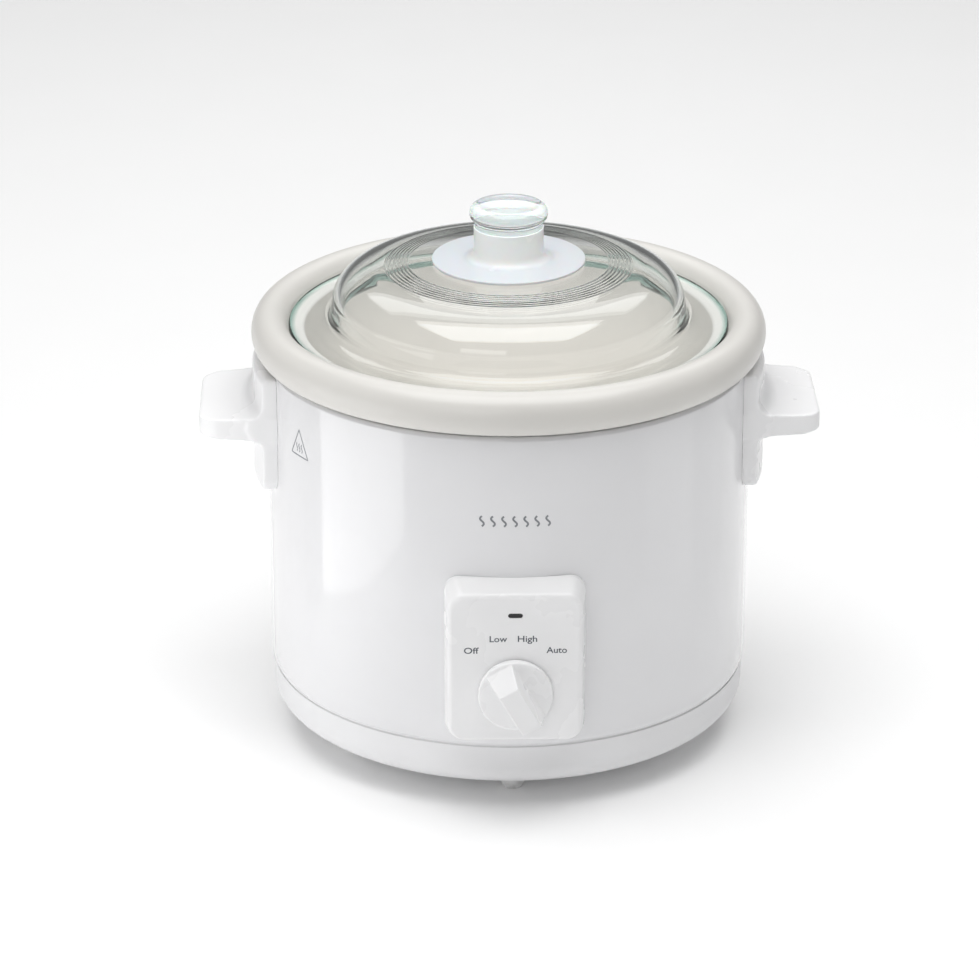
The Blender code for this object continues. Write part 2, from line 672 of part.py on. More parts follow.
def mains_inlet(axis):
    """The bush that a mains lead would leave by; its bore is open right through."""
    outside = BODY_RADIUS + GAP
    inside = outside - SHELL_SHEET - 2 * GAP
    profile = [
        (GLAND_BARREL - GAP, outside + GLAND_REACH),
        (GLAND_RADIUS, outside + GLAND_REACH / 2),
        (GLAND_RADIUS, outside),
        (GLAND_BARREL, outside),
        (GLAND_BARREL, inside - GLAND_TAIL),
        (GLAND_BORE, inside - GLAND_TAIL),
        (GLAND_BORE, outside + GLAND_REACH),
    ]
    gland = turned("cord_gland", profile, WHITE_PLASTIC, 2 * SMALL_FACETS, closed=True)
    place(gland, axis, (0, 0, GLAND_HEIGHT), AIM_REAR)
    block = shown("terminal_block", block_mesh("terminal_block", TERMINAL_SIZE, 1 * MM), BLACK_PLASTIC)
    place(block, axis, (0, TERMINAL_PLACE, PLATE_TOP + GAP + TERMINAL_SIZE[2] / 2))


# ---------------------------------------------------------------- handles


def handle(name, axis, turn_about):
    """A side handle: a grip slab on a curved bracket that hugs the shell. It points to +X."""
    inside = BODY_RADIUS + GAP
    half = GRIP_WIDTH / 2
    root = BODY_RADIUS * 0.8
    corners = (0, GRIP_CORNER, GRIP_CORNER, 0)
    outline = rounded_outline(root, HANDLE_REACH, -half, half, corners, 4)
    mesh = outline_mesh(name, outline, GRIP_ROOT_THICKNESS)
    rise = GRIP_ROOT_THICKNESS - GRIP_END_THICKNESS - GRIP_TOP_FALL
    for vertex in mesh.vertices:
        share = (vertex.co.x - BODY_RADIUS) / GRIP_DEPTH
        vertex.co.y *= 1 - share * GRIP_NARROWING / GRIP_WIDTH
        lower = vertex.co.z < 0
        vertex.co.z -= GRIP_ROOT_THICKNESS / 2
        vertex.co.z += share * (rise if lower else -GRIP_TOP_FALL)
    grip = shown(name, mesh, WHITE_PLASTIC)
    place(grip, axis, (0, 0, GRIP_TOP), (0, 0, turn_about))
    round_edge = grip.modifiers.new("Bevel", "BEVEL")
    round_edge.width = GRIP_EDGE
    round_edge.segments = 2
    round_edge.limit_method = "ANGLE"
    round_edge.angle_limit = math.radians(50)

    frame = empty(name + "_frame", axis, (0, 0, 0), (0, 0, turn_about))
    top = BODY_HEIGHT - BRACKET_TOP_DROP
    bottom = top - BRACKET_HEIGHT
    outer = BODY_RADIUS + BRACKET_THICKNESS
    edge = BRACKET_THICKNESS / 3
    corners = (BRACKET_CORNER, BRACKET_CORNER, 2 * MM, 2 * MM)
    plate = outline_mesh(name + "_plate", rounded_outline(-half, half, bottom, top, corners, 3), root)
    plate = cutter(plate, frame, (BODY_RADIUS, 0, 0), (math.radians(90), 0, math.radians(90)))
    ring = [
        (BODY_RADIUS * 0.9, top + edge),
        (outer - edge, top + edge),
        (outer, top - edge),
        (outer, bottom + edge),
        (outer - edge, bottom - edge),
        (BODY_RADIUS * 0.9, bottom - edge),
    ]
    ring = turned_cutter(name + "_ring", ring, frame, closed=True)
    boolean(plate, ring, "INTERSECT")
    boolean(grip, plate, "UNION")
    body = [(0, GRIP_TOP + BRACKET_HEIGHT), (inside, GRIP_TOP + BRACKET_HEIGHT),
            (inside, GRIP_TOP - BRACKET_HEIGHT), (0, GRIP_TOP - BRACKET_HEIGHT)]
    boolean(grip, turned_cutter(name + "_body", body, frame))
    for y in (-HANDLE_SCREW_SPREAD, HANDLE_SCREW_SPREAD):
        start = (BODY_RADIUS * 0.9, y, HANDLE_SCREW_HEIGHT)
        length = BODY_RADIUS * 0.1 + HANDLE_SCREW_LENGTH
        drill(grip, SCREW_RADIUS + GAP, start, length, frame, AIM_RIGHT)


def handle_screws(axis):
    """Each pair goes from inside the shell into the thick root of a grip."""
    edge = HANDLE_SCREW_SPREAD + SCREW_HEAD_RADIUS
    head = math.sqrt((SHELL_INSIDE * FACET_FLAT) ** 2 - edge**2) - GAP
    for side, label, aim in ((-1, "left", AIM_LEFT), (1, "right", AIM_RIGHT)):
        for place_y, end in ((-HANDLE_SCREW_SPREAD, "front"), (HANDLE_SCREW_SPREAD, "rear")):
            name = f"handle_screw_{label}_{end}"
            screw = turned(name, screw_profile(HANDLE_SCREW_LENGTH), STEEL, SMALL_FACETS)
            place(screw, axis, (side * head, place_y, HANDLE_SCREW_HEIGHT), aim)


# ---------------------------------------------------------------- control panel and selector


def panel_block(name, inset):
    """The panel's box with its skin moved inwards by inset. Its drafts start at the shell's surface."""
    rear = BODY_RADIUS - PANEL_DEPTH - inset
    face = PANEL_FACE - inset
    levels = [(rear, 0.0), (BODY_RADIUS, 0.0)]
    for turned_by in (0, 45, 90):
        angle = math.radians(turned_by)
        levels.append((face - PANEL_EDGE * (1 - math.sin(angle)), PANEL_EDGE * (1 - math.cos(angle))))
    loops = []
    for reach, edge in levels:
        share = max(0.0, reach - BODY_RADIUS) / PANEL_DEPTH
        half = PANEL_WIDTH / 2 - inset - PANEL_SIDE_DRAFT * share - edge
        top = PANEL_TOP - inset - PANEL_TOP_SLOPE * share - edge
        bottom = PANEL_BOTTOM + inset + PANEL_SIDE_DRAFT * share + edge
        corners = [PANEL_CORNER - inset - edge] * 4
        outline = rounded_outline(-half, half, bottom, top, corners, 4)
        loops.append([(x, -reach, z) for x, z in outline])

    def build(bm):
        rings = [[bm.verts.new(place) for place in loop] for loop in loops]
        count = len(rings[0])
        for first, second in zip(rings, rings[1:]):
            for i in range(count):
                j = (i + 1) % count
                bm.faces.new((first[i], first[j], second[j], second[i]))
        bm.faces.new(rings[0])
        bm.faces.new(rings[-1])
        bmesh.ops.recalc_face_normals(bm, faces=bm.faces)

    return mesh_from(name, build)


def control_panel(axis):
    panel = place(shown("control_panel", panel_block("control_panel", 0), WHITE_PLASTIC), axis)
    hollow = cutter(panel_block("panel_hollow", PANEL_WALL), axis)
    boolean(panel, hollow)
    back = BODY_RADIUS * FACET_FLAT * 0.9
    for side in (-1, 1):
        start = (side * PANEL_SCREW_X, -back, PANEL_SCREW_HEIGHT)
        boss = cylinder_mesh("boss", BOSS_RADIUS, PANEL_FACE - PANEL_WALL / 2 - back, SMALL_FACETS)
        boolean(panel, cutter(boss, axis, start, AIM_FRONT), "UNION")
    body = [(0, PANEL_TOP + PANEL_HEIGHT), (BODY_RADIUS + GAP, PANEL_TOP + PANEL_HEIGHT),
            (BODY_RADIUS + GAP, PANEL_BOTTOM - PANEL_HEIGHT), (0, PANEL_BOTTOM - PANEL_HEIGHT)]
    boolean(panel, turned_cutter("panel_body", body, axis))
    for side in (-1, 1):
        start = (side * PANEL_SCREW_X, -back, PANEL_SCREW_HEIGHT)
        length = PANEL_FACE - PANEL_WALL - back
        drill(panel, SCREW_RADIUS + GAP, start, length, axis, AIM_FRONT)
    drill(panel, SPINDLE_RADIUS + SCREW_CLEARANCE, (0, -BODY_RADIUS, DIAL_HEIGHT),
          2 * PANEL_DEPTH, axis, AIM_FRONT)
    slot = outline_mesh("lens_slot", stadium(*LENS_SLOT), 2 * PANEL_DEPTH)
    boolean(panel, cutter(slot, axis, (0, -PANEL_FACE, LENS_HEIGHT), AIM_FRONT))

    edge = PANEL_SCREW_X + SCREW_HEAD_RADIUS
    head = math.sqrt((SHELL_INSIDE * FACET_FLAT) ** 2 - edge**2) - GAP
    for number, side in enumerate((-1, 1), 1):
        length = PANEL_FACE - PANEL_WALL - head - 1.5 * MM
        screw = turned(f"panel_screw_{number}", screw_profile(length), STEEL, SMALL_FACETS)
        place(screw, axis, (side * PANEL_SCREW_X, -head, PANEL_SCREW_HEIGHT), AIM_FRONT)


def stadium(width, height):
    """A slot outline with round ends, centred on the origin."""
    radius = height / 2
    reach = width / 2 - radius
    return arc((reach, 0), radius, -90, 90, 6) + arc((-reach, 0), radius, 90, 270, 6)


def indicator(axis):
    wall = PANEL_WALL - GAP
    width, height = LENS_SLOT
    pin = outline_mesh("indicator_lens", stadium(width - 2 * GAP, height - 2 * GAP), wall + 2 * GAP)
    lens = shown("indicator_lens", pin, SMOKED)
    place(lens, axis, (0, -(PANEL_FACE - GAP - (wall + 2 * GAP) / 2), LENS_HEIGHT), AIM_FRONT)
    rim = stadium(width + 2 * LENS_FLANGE, height + 2 * LENS_FLANGE)
    rim = outline_mesh("lens_flange", rim, LENS_FLANGE_THICKNESS)
    behind = PANEL_FACE - PANEL_WALL - GAP - LENS_FLANGE_THICKNESS / 2
    boolean(lens, cutter(rim, axis, (0, -behind, LENS_HEIGHT), AIM_FRONT), "UNION")
    width, depth, _ = LAMP_HOLDER
    front = flat_inside_shell(width / 2)
    lamp_back = front - LAMP_SEAT
    lamp_length = behind - LENS_FLANGE_THICKNESS / 2 - GAP - lamp_back
    lamp = cylinder_mesh("indicator_lamp", LAMP_RADIUS, lamp_length, SMALL_FACETS)
    place(shown("indicator_lamp", lamp, AMBER), axis, (0, -lamp_back, LENS_HEIGHT), AIM_FRONT)
    holder = shown("lamp_holder", block_mesh("lamp_holder", LAMP_HOLDER, 1 * MM), BLACK_PLASTIC)
    place(holder, axis, (0, depth / 2 - front, LENS_HEIGHT))
    socket = cylinder_mesh("lamp_socket", LAMP_RADIUS + GAP, lamp_length, SMALL_FACETS)
    boolean(holder, cutter(socket, axis, (0, -lamp_back + GAP, LENS_HEIGHT), AIM_FRONT))


def heat_selector(axis):
    """The knob and its spindle. Local Z points at the cook and local Y at the pointer's end."""
    dial = empty("dial_axis", axis, (0, -PANEL_FACE, DIAL_HEIGHT), AIM_FRONT)
    front = DIAL_STAND_OFF + DIAL_DISC
    edge = 1.4 * MM
    disc = [(0, front), (DIAL_RADIUS - edge, front), (DIAL_RADIUS, front - edge),
            (DIAL_RADIUS, DIAL_STAND_OFF), (0, DIAL_STAND_OFF)]
    knob = turned("selector_knob", disc, WHITE_PLASTIC, KNOB_FACETS)
    place(knob, dial, rotation=(0, 0, DIAL_OFF_ANGLE))
    reach = DIAL_RADIUS - edge

    def corner_place(x, y, z):
        if z < 0:
            return (math.copysign(DIAL_BAR_WIDTH / 2, x), math.copysign(reach, y), front - edge)
        back = -reach + edge
        return (math.copysign(DIAL_BAR_TOP_WIDTH / 2, x),
                reach - DIAL_BAR_SLOPE if y > 0 else back, DIAL_REACH)

    def build(bm):
        bmesh.ops.create_cube(bm, size=1.0)
        for vertex in bm.verts:
            vertex.co = corner_place(*vertex.co)
        upper = [e for e in bm.edges if max(v.co.z for v in e.verts) > front]
        bmesh.ops.bevel(bm, geom=upper, offset=edge, segments=2, profile=0.5, affect="EDGES")

    bar = cutter(mesh_from("dial_bar", build), dial, rotation=(0, 0, DIAL_OFF_ANGLE))
    boolean(knob, bar, "UNION")
    drill(knob, SPINDLE_RADIUS + GAP, (0, 0, 0), SPINDLE_DEPTH + GAP, dial)
    rear = BUSHING_STAND + GAP - PANEL_DEPTH
    spindle = shown("switch_spindle", cylinder_mesh("switch_spindle", SPINDLE_RADIUS,
                                                    SPINDLE_DEPTH - rear, SMALL_FACETS), STEEL)
    place(spindle, dial, (0, 0, rear))


# ---------------------------------------------------------------- wiring inside the housing


def wire(name, points, finish, axis):
    """An insulated lead through its points."""
    curve = bpy.data.curves.new(name, "CURVE")
    curve.dimensions = "3D"
    curve.bevel_depth = WIRE_RADIUS
    curve.bevel_resolution = 1
    curve.use_fill_caps = True
    spline = curve.splines.new("POLY")
    spline.points.add(len(points) - 1)
    for point, spot in zip(spline.points, points):
        point.co = (*spot, 1)
    curve.materials.append(material(name + "_" + finish[0], *finish[1:]))
    obj = bpy.data.objects.new(name, curve)
    parts.objects.link(obj)
    place(obj, axis)


def ring_run(radius, start, end, low, high, steps):
    """Points round the pot's axis, from one angle to another in degrees from the front, climbing."""
    points = []
    for i in range(steps + 1):
        angle = math.radians(start + (end - start) * i / steps)
        height = low + (high - low) * i / steps
        points.append((radius * math.sin(angle), -radius * math.cos(angle), height))
    return points


def wiring(axis):
    lane = SHELL_INSIDE * FACET_FLAT - WIRE_RADIUS - WIRE_ROOM
    side = SWITCH_SIZE[0] / 2
    end = GAP + WIRE_RADIUS
    switch_y = -flat_inside_shell(side) + SWITCH_SIZE[1] / 2
    switch_low = DIAL_HEIGHT - SWITCH_SIZE[2] / 2
    switch_high = DIAL_HEIGHT + SWITCH_SIZE[2] / 2
    low_lane = TRAY_RADIUS - TRAY_WALL - WIRE_RADIUS - 3 * WIRE_ROOM
    terminal_z = PLATE_TOP + GAP + TERMINAL_SIZE[2] / 2
    terminal_x = TERMINAL_SIZE[0] / 2
    heater_z = HEATER_BOTTOM - end - GAP
    band = pot_wall_radius(HEATER_BOTTOM, LINER_OFFSET + GAP + HEATER_THICKNESS / 2)
    red = ("red_sleeve", (0.65, 0.12, 0.1), 0.5)
    blue = ("blue_sleeve", (0.1, 0.2, 0.55), 0.5)
    white = ("glass_fibre_sleeve", (0.85, 0.84, 0.8), 0.7)
    live = [(terminal_x + GAP, TERMINAL_PLACE, terminal_z), (terminal_x * 2, TERMINAL_PLACE, terminal_z),
            *ring_run(low_lane, 130, 25, TRAY_SIDE_BOTTOM, SHELL_BOTTOM, 10),
            (side / 2, switch_y, switch_low - 2 * WIRE_ROOM), (side / 2, switch_y, switch_low - GAP)]
    wire("wire_live", live, red, axis)
    neutral = [(-terminal_x - GAP, TERMINAL_PLACE, terminal_z),
               (-terminal_x * 2, TERMINAL_PLACE, terminal_z),
               *ring_run(low_lane, 225, 200, TRAY_SIDE_BOTTOM, SHELL_BOTTOM, 3),
               *ring_run(band, 196, 192, heater_z - 6 * WIRE_ROOM, heater_z, 2)]
    wire("wire_neutral", neutral, blue, axis)
    for name, sign in (("wire_low", -1), ("wire_high", 1)):
        run = ring_run(lane, sign * 15, sign * 168, DIAL_HEIGHT, heater_z - 3 * WIRE_ROOM, 14)
        points = [(sign * (side + GAP), switch_y, DIAL_HEIGHT), *run,
                  *ring_run(band, sign * 172, sign * 173, heater_z - WIRE_ROOM, heater_z, 1)]
        wire(name, points, white, axis)
    lamp_low = LENS_HEIGHT - LAMP_HOLDER[2] / 2 - GAP
    lamp_y = -flat_inside_shell(LAMP_HOLDER[0] / 2) + LAMP_HOLDER[1] / 2
    lead = [(0, switch_y, switch_high + GAP), (0, switch_y, switch_high + 2 * WIRE_ROOM),
            (0, lamp_y, lamp_low - 2 * WIRE_ROOM), (0, lamp_y, lamp_low)]
    wire("wire_lamp", lead, white, axis)


# ---------------------------------------------------------------- pot and lid


def ceramic_pot(axis):
    pot_axis = empty("pot_axis", axis)
    inner = pot_surface(-POT_WALL, 4)
    mouth = LEDGE - POT_MOUTH_ROUND
    mouth_radius = pot_wall_radius(mouth, -POT_WALL)
    centre = (RIM_CENTRE_RADIUS, RIM_MIDDLE)
    recess = math.degrees(math.acos((LID_RECESS_RADIUS - RIM_CENTRE_RADIUS) / RIM_HALF_WIDTH))
    rim = arc(centre, RIM_HALF_WIDTH, recess, 0, 6, RIM_HALF_HEIGHT)
    rim += arc(centre, RIM_HALF_WIDTH, 0, -90, 3, RIM_HALF_HEIGHT)[1:]
    profile = [
        *reversed(inner),
        (mouth_radius, mouth),
        (mouth_radius + POT_MOUTH_ROUND, LEDGE),
        (LID_RECESS_RADIUS, LEDGE),
        *rim,
        (POT_WALL_RADIUS + POT_FILLET, RIM_BOTTOM),
        (POT_WALL_RADIUS, POT_WALL_TOP),
        *pot_surface(0, 4),
    ]
    place(turned("ceramic_pot", profile, STONEWARE), pot_axis)


def lid_top():
    """The dome's outside, from the axis to the foot of the flare."""
    wall = LID_RADIUS - LID_FLANGE_WIDTH - LID_FLARE_WIDTH
    flange_top = LID_BOTTOM + LID_FLANGE_THICKNESS
    waist = flange_top + LID_FLARE_RISE + LID_WALL_RISE
    centre = (wall - LID_WALL_LEAN - LID_SHOULDER_WIDTH, waist)
    crown = waist + LID_SHOULDER_RISE + LID_CROWN_RISE
    return wall, flange_top, centre, crown


def glass_lid(lid_axis):
    wall, flange_top, centre, crown = lid_top()
    round_off = 1.0 * MM
    top_end = 79
    flare = bend((wall, flange_top + LID_FLARE_RISE), (wall, flange_top),
                 (wall + LID_FLARE_WIDTH, flange_top), 3)
    inner_wall = wall - LID_GLASS
    inside = bend((inner_wall + LID_FLARE_WIDTH, LID_BOTTOM), (inner_wall, LID_BOTTOM + round_off),
                  (inner_wall, flange_top + LID_FLARE_RISE - LID_GLASS / 2), 3)
    profile = [
        (0, crown),
        (LID_CROWN_RADIUS, crown),
        *arc(centre, LID_SHOULDER_WIDTH, top_end, 0, 5, LID_SHOULDER_RISE),
        *flare,
        (LID_RADIUS - round_off, flange_top),
        (LID_RADIUS, flange_top - round_off),
        (LID_RADIUS, LID_BOTTOM + round_off),
        (LID_RADIUS - round_off, LID_BOTTOM),
        *inside,
        *arc(centre, LID_SHOULDER_WIDTH - LID_GLASS, 0, top_end, 4, LID_SHOULDER_RISE - LID_GLASS),
        (LID_CROWN_RADIUS, crown - LID_GLASS),
        (0, crown - LID_GLASS),
    ]
    place(turned("glass_lid", profile, LID_GLASS_FINISH), lid_axis)
    return crown


def lid_knob(lid_axis, crown):
    seat = crown + GAP
    seat_top = seat + SEAT_THICKNESS
    edge = SEAT_THICKNESS / 3
    profile = [(0, seat_top), (SEAT_RADIUS - edge, seat_top), (SEAT_RADIUS, seat_top - edge),
               (SEAT_RADIUS, seat), (0, seat)]
    place(turned("knob_seat", profile, MILKY, KNOB_FACETS), lid_axis)
    foot = seat_top + GAP
    neck = foot + KNOB_STEM_HEIGHT
    middle = (KNOB_BEAD_RADIUS - KNOB_BEAD_HEIGHT / 2, neck + KNOB_BEAD_HEIGHT / 2)
    flare = 1.2 * MM
    profile = [
        (0, neck + KNOB_BEAD_HEIGHT - KNOB_DISH),
        (middle[0] * 0.6, neck + KNOB_BEAD_HEIGHT - KNOB_DISH * 0.6),
        *arc(middle, KNOB_BEAD_HEIGHT / 2, 90, -75, 7),
        (KNOB_STEM_RADIUS, neck - flare),
        (KNOB_STEM_RADIUS, foot + flare),
        (KNOB_STEM_RADIUS + flare, foot),
        (0, foot),
    ]
    place(turned("lid_knob", profile, LID_GLASS_FINISH, KNOB_FACETS), lid_axis)


def slow_cooker():
    axis = empty("cooker_axis", location=(0, AXIS_Y, 0))
    outer_shell(axis)
    base_tray(axis)
    feet(axis)
    bottom_plate(axis)
    heat_shield(axis)
    posts_and_base_screws(axis)
    inner_liner(axis)
    heater(axis)
    thermostat(axis)
    rotary_switch(axis)
    mains_inlet(axis)
    handle("handle_right", axis, 0)
    handle("handle_left", axis, math.pi)
    handle_screws(axis)
    control_panel(axis)
    indicator(axis)
    heat_selector(axis)
    wiring(axis)
    ceramic_pot(axis)
    lid_axis = empty("lid_axis", axis)
    lid_knob(lid_axis, glass_lid(lid_axis))


slow_cooker()
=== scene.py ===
"""The look of a round table-top slow cooker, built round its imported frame.

Metres, +Z up, the cook stands at -Y. Every turned piece is a profile of (radius, height) points spun
about the pot's axis. Sizes come from the frame's own boxes, and the finer ones are named below.
"""

import math

import bmesh
import bpy
from mathutils import Matrix, Vector


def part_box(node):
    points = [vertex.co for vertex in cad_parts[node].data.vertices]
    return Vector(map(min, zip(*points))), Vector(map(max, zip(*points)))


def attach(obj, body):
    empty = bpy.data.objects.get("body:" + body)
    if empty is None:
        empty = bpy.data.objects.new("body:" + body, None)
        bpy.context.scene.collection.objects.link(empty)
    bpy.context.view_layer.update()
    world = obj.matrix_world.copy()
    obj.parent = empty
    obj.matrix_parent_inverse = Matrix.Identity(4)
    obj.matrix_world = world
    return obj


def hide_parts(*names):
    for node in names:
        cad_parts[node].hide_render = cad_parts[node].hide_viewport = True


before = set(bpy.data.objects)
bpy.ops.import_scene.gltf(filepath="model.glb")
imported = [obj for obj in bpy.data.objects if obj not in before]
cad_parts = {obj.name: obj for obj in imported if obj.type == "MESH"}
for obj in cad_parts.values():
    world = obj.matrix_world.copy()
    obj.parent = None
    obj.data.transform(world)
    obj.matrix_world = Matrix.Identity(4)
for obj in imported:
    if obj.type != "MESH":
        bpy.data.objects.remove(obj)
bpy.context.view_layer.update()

MM = 0.001
FINE = 192  # facets of a large turned piece
SMALL = 64  # facets of a small one


# ---------------------------------------------------------------- places taken from the frame


def span(node, side):
    """Lowest and highest place of a node along X, Y or Z."""
    low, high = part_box(node)
    return low[side], high[side]


AXIS_Y = sum(span("outer_shell", 1)) / 2
BODY_RADIUS = span("outer_shell", 0)[1]
SHELL_BOTTOM, SHELL_TOP = span("outer_shell", 2)
TRAY_RADIUS = span("base_tray", 0)[1]
TRAY_FLOOR = span("base_tray", 2)[0]
RIM_RADIUS = span("ceramic_pot", 0)[1]
POT_BOTTOM, RIM_CREST = span("ceramic_pot", 2)
LINER_TOP = span("inner_liner", 2)[1]
LINER_RADIUS = span("inner_liner", 0)[1]
LID_RADIUS = span("glass_lid", 0)[1]
LID_BOTTOM, LID_TOP = span("glass_lid", 2)
SEAT_RADIUS = span("knob_seat", 0)[1]
SEAT_BOTTOM, SEAT_TOP = span("knob_seat", 2)
KNOB_RADIUS = span("lid_knob", 0)[1]
KNOB_TOP = span("lid_knob", 2)[1]
PANEL_FACE = AXIS_Y - span("control_panel", 1)[0]
PANEL_HALF = span("control_panel", 0)[1]
PANEL_BOTTOM, PANEL_TOP = span("control_panel", 2)
DIAL_FRONT = AXIS_Y - span("selector_knob", 1)[0]
DIAL_Z = sum(span("selector_knob", 2)) / 2
LENS_Z = sum(span("indicator_lens", 2)) / 2
GRIP_END = span("handle_right", 0)[1]
BRACKET_BOTTOM, BRACKET_TOP = span("handle_right", 2)
GRIP_HALF = (span("handle_right", 1)[1] - span("handle_right", 1)[0]) / 2
GLAND_Z = sum(span("cord_gland", 2)) / 2
GLAND_END = span("cord_gland", 1)[1] - AXIS_Y


# ---------------------------------------------------------------- node groups


def add(tree, kind, **settings):
    node = tree.nodes.new("ShaderNode" + kind)
    for name, value in settings.items():
        setattr(node, name, value)
    return node


def feed(tree, source, target, socket):
    """Joins an output to an input, or sets the input to a plain value."""
    into = target.inputs[socket]
    if isinstance(source, bpy.types.NodeSocket):
        tree.links.new(source, into)
    else:
        into.default_value = source


def new_group(name, inputs, outputs):
    """A shader node group with named sockets; inputs maps a name to (socket type, value)."""
    tree = bpy.data.node_groups.new(name, "ShaderNodeTree")
    for socket, (kind, value) in inputs.items():
        made = tree.interface.new_socket(socket, in_out="INPUT", socket_type="NodeSocket" + kind)
        made.default_value = value
    for socket, kind in outputs.items():
        tree.interface.new_socket(socket, in_out="OUTPUT", socket_type="NodeSocket" + kind)
    return tree, tree.nodes.new("NodeGroupInput").outputs, tree.nodes.new("NodeGroupOutput")


def noise(tree, vector, scale, detail=2.0, roughness=0.5):
    node = add(tree, "TexNoise")
    feed(tree, vector, node, "Vector")
    feed(tree, scale, node, "Scale")
    feed(tree, detail, node, "Detail")
    feed(tree, roughness, node, "Roughness")
    return node.outputs["Fac"]


def remap(tree, value, low, high, to_low, to_high):
    node = add(tree, "MapRange")
    for socket, given in (("Value", value), ("From Min", low), ("From Max", high),
                          ("To Min", to_low), ("To Max", to_high)):
        feed(tree, given, node, socket)
    return node.outputs["Result"]


def worked_out(tree, operation, first, second):
    node = add(tree, "Math", operation=operation)
    feed(tree, first, node, 0)
    feed(tree, second, node, 1)
    return node.outputs[0]


def mix_colour(tree, share, first, second):
    """The first colour where share is 0, the second where it is 1."""
    node = add(tree, "Mix", data_type="RGBA")
    feed(tree, share, node, 0)
    feed(tree, first, node, 6)
    feed(tree, second, node, 7)
    return node.outputs[2]


def tone_drift_group():
    """A slow drift between two close tones, with a finer fleck laid over it."""
    tree, given, out = new_group(
        "tone_drift",
        {"Colour": ("Color", (0.8, 0.8, 0.8, 1)), "Drift Colour": ("Color", (0.7, 0.7, 0.7, 1)),
         "Patch Scale": ("Float", 12.0), "Fleck Scale": ("Float", 900.0), "Fleck": ("Float", 0.1)},
        {"Colour": "Color"})
    place = add(tree, "TexCoord").outputs["Object"]
    patches = remap(tree, noise(tree, place, given["Patch Scale"], 3.0), 0.35, 0.65, 0.0, 1.0)
    fleck = remap(tree, noise(tree, place, given["Fleck Scale"], 2.0), 0.4, 0.7, 0.0, 1.0)
    share = worked_out(tree, "MULTIPLY", fleck, given["Fleck"])
    mask = worked_out(tree, "ADD", patches, share)
    feed(tree, mix_colour(tree, mask, given["Colour"], given["Drift Colour"]), out, "Colour")
    return tree


def skin_ripple_group():
    """The faint uneven skin of sprayed paint, moulded plastic or glaze: a height and a gloss value."""
    tree, given, out = new_group(
        "skin_ripple",
        {"Wave Scale": ("Float", 120.0), "Grain Scale": ("Float", 1500.0), "Grain": ("Float", 0.3),
         "Gloss Low": ("Float", 0.1), "Gloss High": ("Float", 0.2)},
        {"Height": "Float", "Roughness": "Float"})
    place = add(tree, "TexCoord").outputs["Object"]
    waves = noise(tree, place, given["Wave Scale"], 2.0)
    grain = noise(tree, place, given["Grain Scale"], 1.0)
    fine = worked_out(tree, "MULTIPLY", grain, given["Grain"])
    feed(tree, worked_out(tree, "ADD", waves, fine), out, "Height")
    smears = noise(tree, place, 14.0, 4.0, 0.6)
    feed(tree, remap(tree, smears, 0.3, 0.7, given["Gloss Low"], given["Gloss High"]), out, "Roughness")
    return tree


def reach_from_axis(tree):
    """A place's distance out from the pot's axis, and its height."""
    place = add(tree, "TexCoord").outputs["Object"]
    shift = add(tree, "VectorMath", operation="SUBTRACT")
    feed(tree, place, shift, 0)
    feed(tree, (0, AXIS_Y, 0), shift, 1)
    flat = add(tree, "VectorMath", operation="MULTIPLY")
    feed(tree, shift.outputs[0], flat, 0)
    feed(tree, (1, 1, 0), flat, 1)
    length = add(tree, "VectorMath", operation="LENGTH")
    feed(tree, flat.outputs[0], length, 0)
    parts = add(tree, "SeparateXYZ")
    feed(tree, place, parts, 0)
    return length.outputs["Value"], parts.outputs["Z"]


def lathe_lines_group():
    """Fine rings left by spinning or rolling sheet metal round the pot's axis."""
    tree, given, out = new_group(
        "lathe_lines",
        {"Line Scale": ("Float", 4000.0), "Gloss Low": ("Float", 0.2), "Gloss High": ("Float", 0.4)},
        {"Height": "Float", "Roughness": "Float"})
    reach, height = reach_from_axis(tree)
    ring = add(tree, "CombineXYZ")
    feed(tree, reach, ring, "X")
    feed(tree, height, ring, "Z")
    lines = noise(tree, ring.outputs[0], given["Line Scale"], 1.0)
    feed(tree, lines, out, "Height")
    feed(tree, remap(tree, lines, 0.3, 0.7, given["Gloss Low"], given["Gloss High"]), out, "Roughness")
    return tree


def sleeve_weave_group():
    """The crossed threads of a woven glass-fibre sleeve, as a height and a tone mask."""
    tree, given, out = new_group(
        "sleeve_weave", {"Thread Scale": ("Float", 900.0)}, {"Height": "Float", "Mask": "Float"})
    place = add(tree, "TexCoord").outputs["Object"]
    ways = []
    for direction in ("X", "Z"):
        wave = add(tree, "TexWave", bands_direction=direction)
        feed(tree, place, wave, "Vector")
        feed(tree, given["Thread Scale"], wave, "Scale")
        ways.append(wave.outputs["Fac"])
    crossed = worked_out(tree, "MULTIPLY", *ways)
    feed(tree, crossed, out, "Height")
    feed(tree, crossed, out, "Mask")
    return tree


def foot_scuff_group():
    """Where scuffs and dust gather: in patches, more of them nearer the table."""
    tree, given, out = new_group(
        "foot_scuff", {"Height": ("Float", 0.02), "Amount": ("Float", 0.4)}, {"Mask": "Float"})
    place = add(tree, "TexCoord").outputs["Object"]
    parts = add(tree, "SeparateXYZ")
    feed(tree, place, parts, 0)
    low = remap(tree, parts.outputs["Z"], 0.0, given["Height"], 1.0, 0.0)
    patches = remap(tree, noise(tree, place, 160.0, 4.0, 0.7), 0.4, 0.7, 0.0, 1.0)
    both = worked_out(tree, "MULTIPLY", low, patches)
    feed(tree, worked_out(tree, "MULTIPLY", both, given["Amount"]), out, "Mask")
    return tree


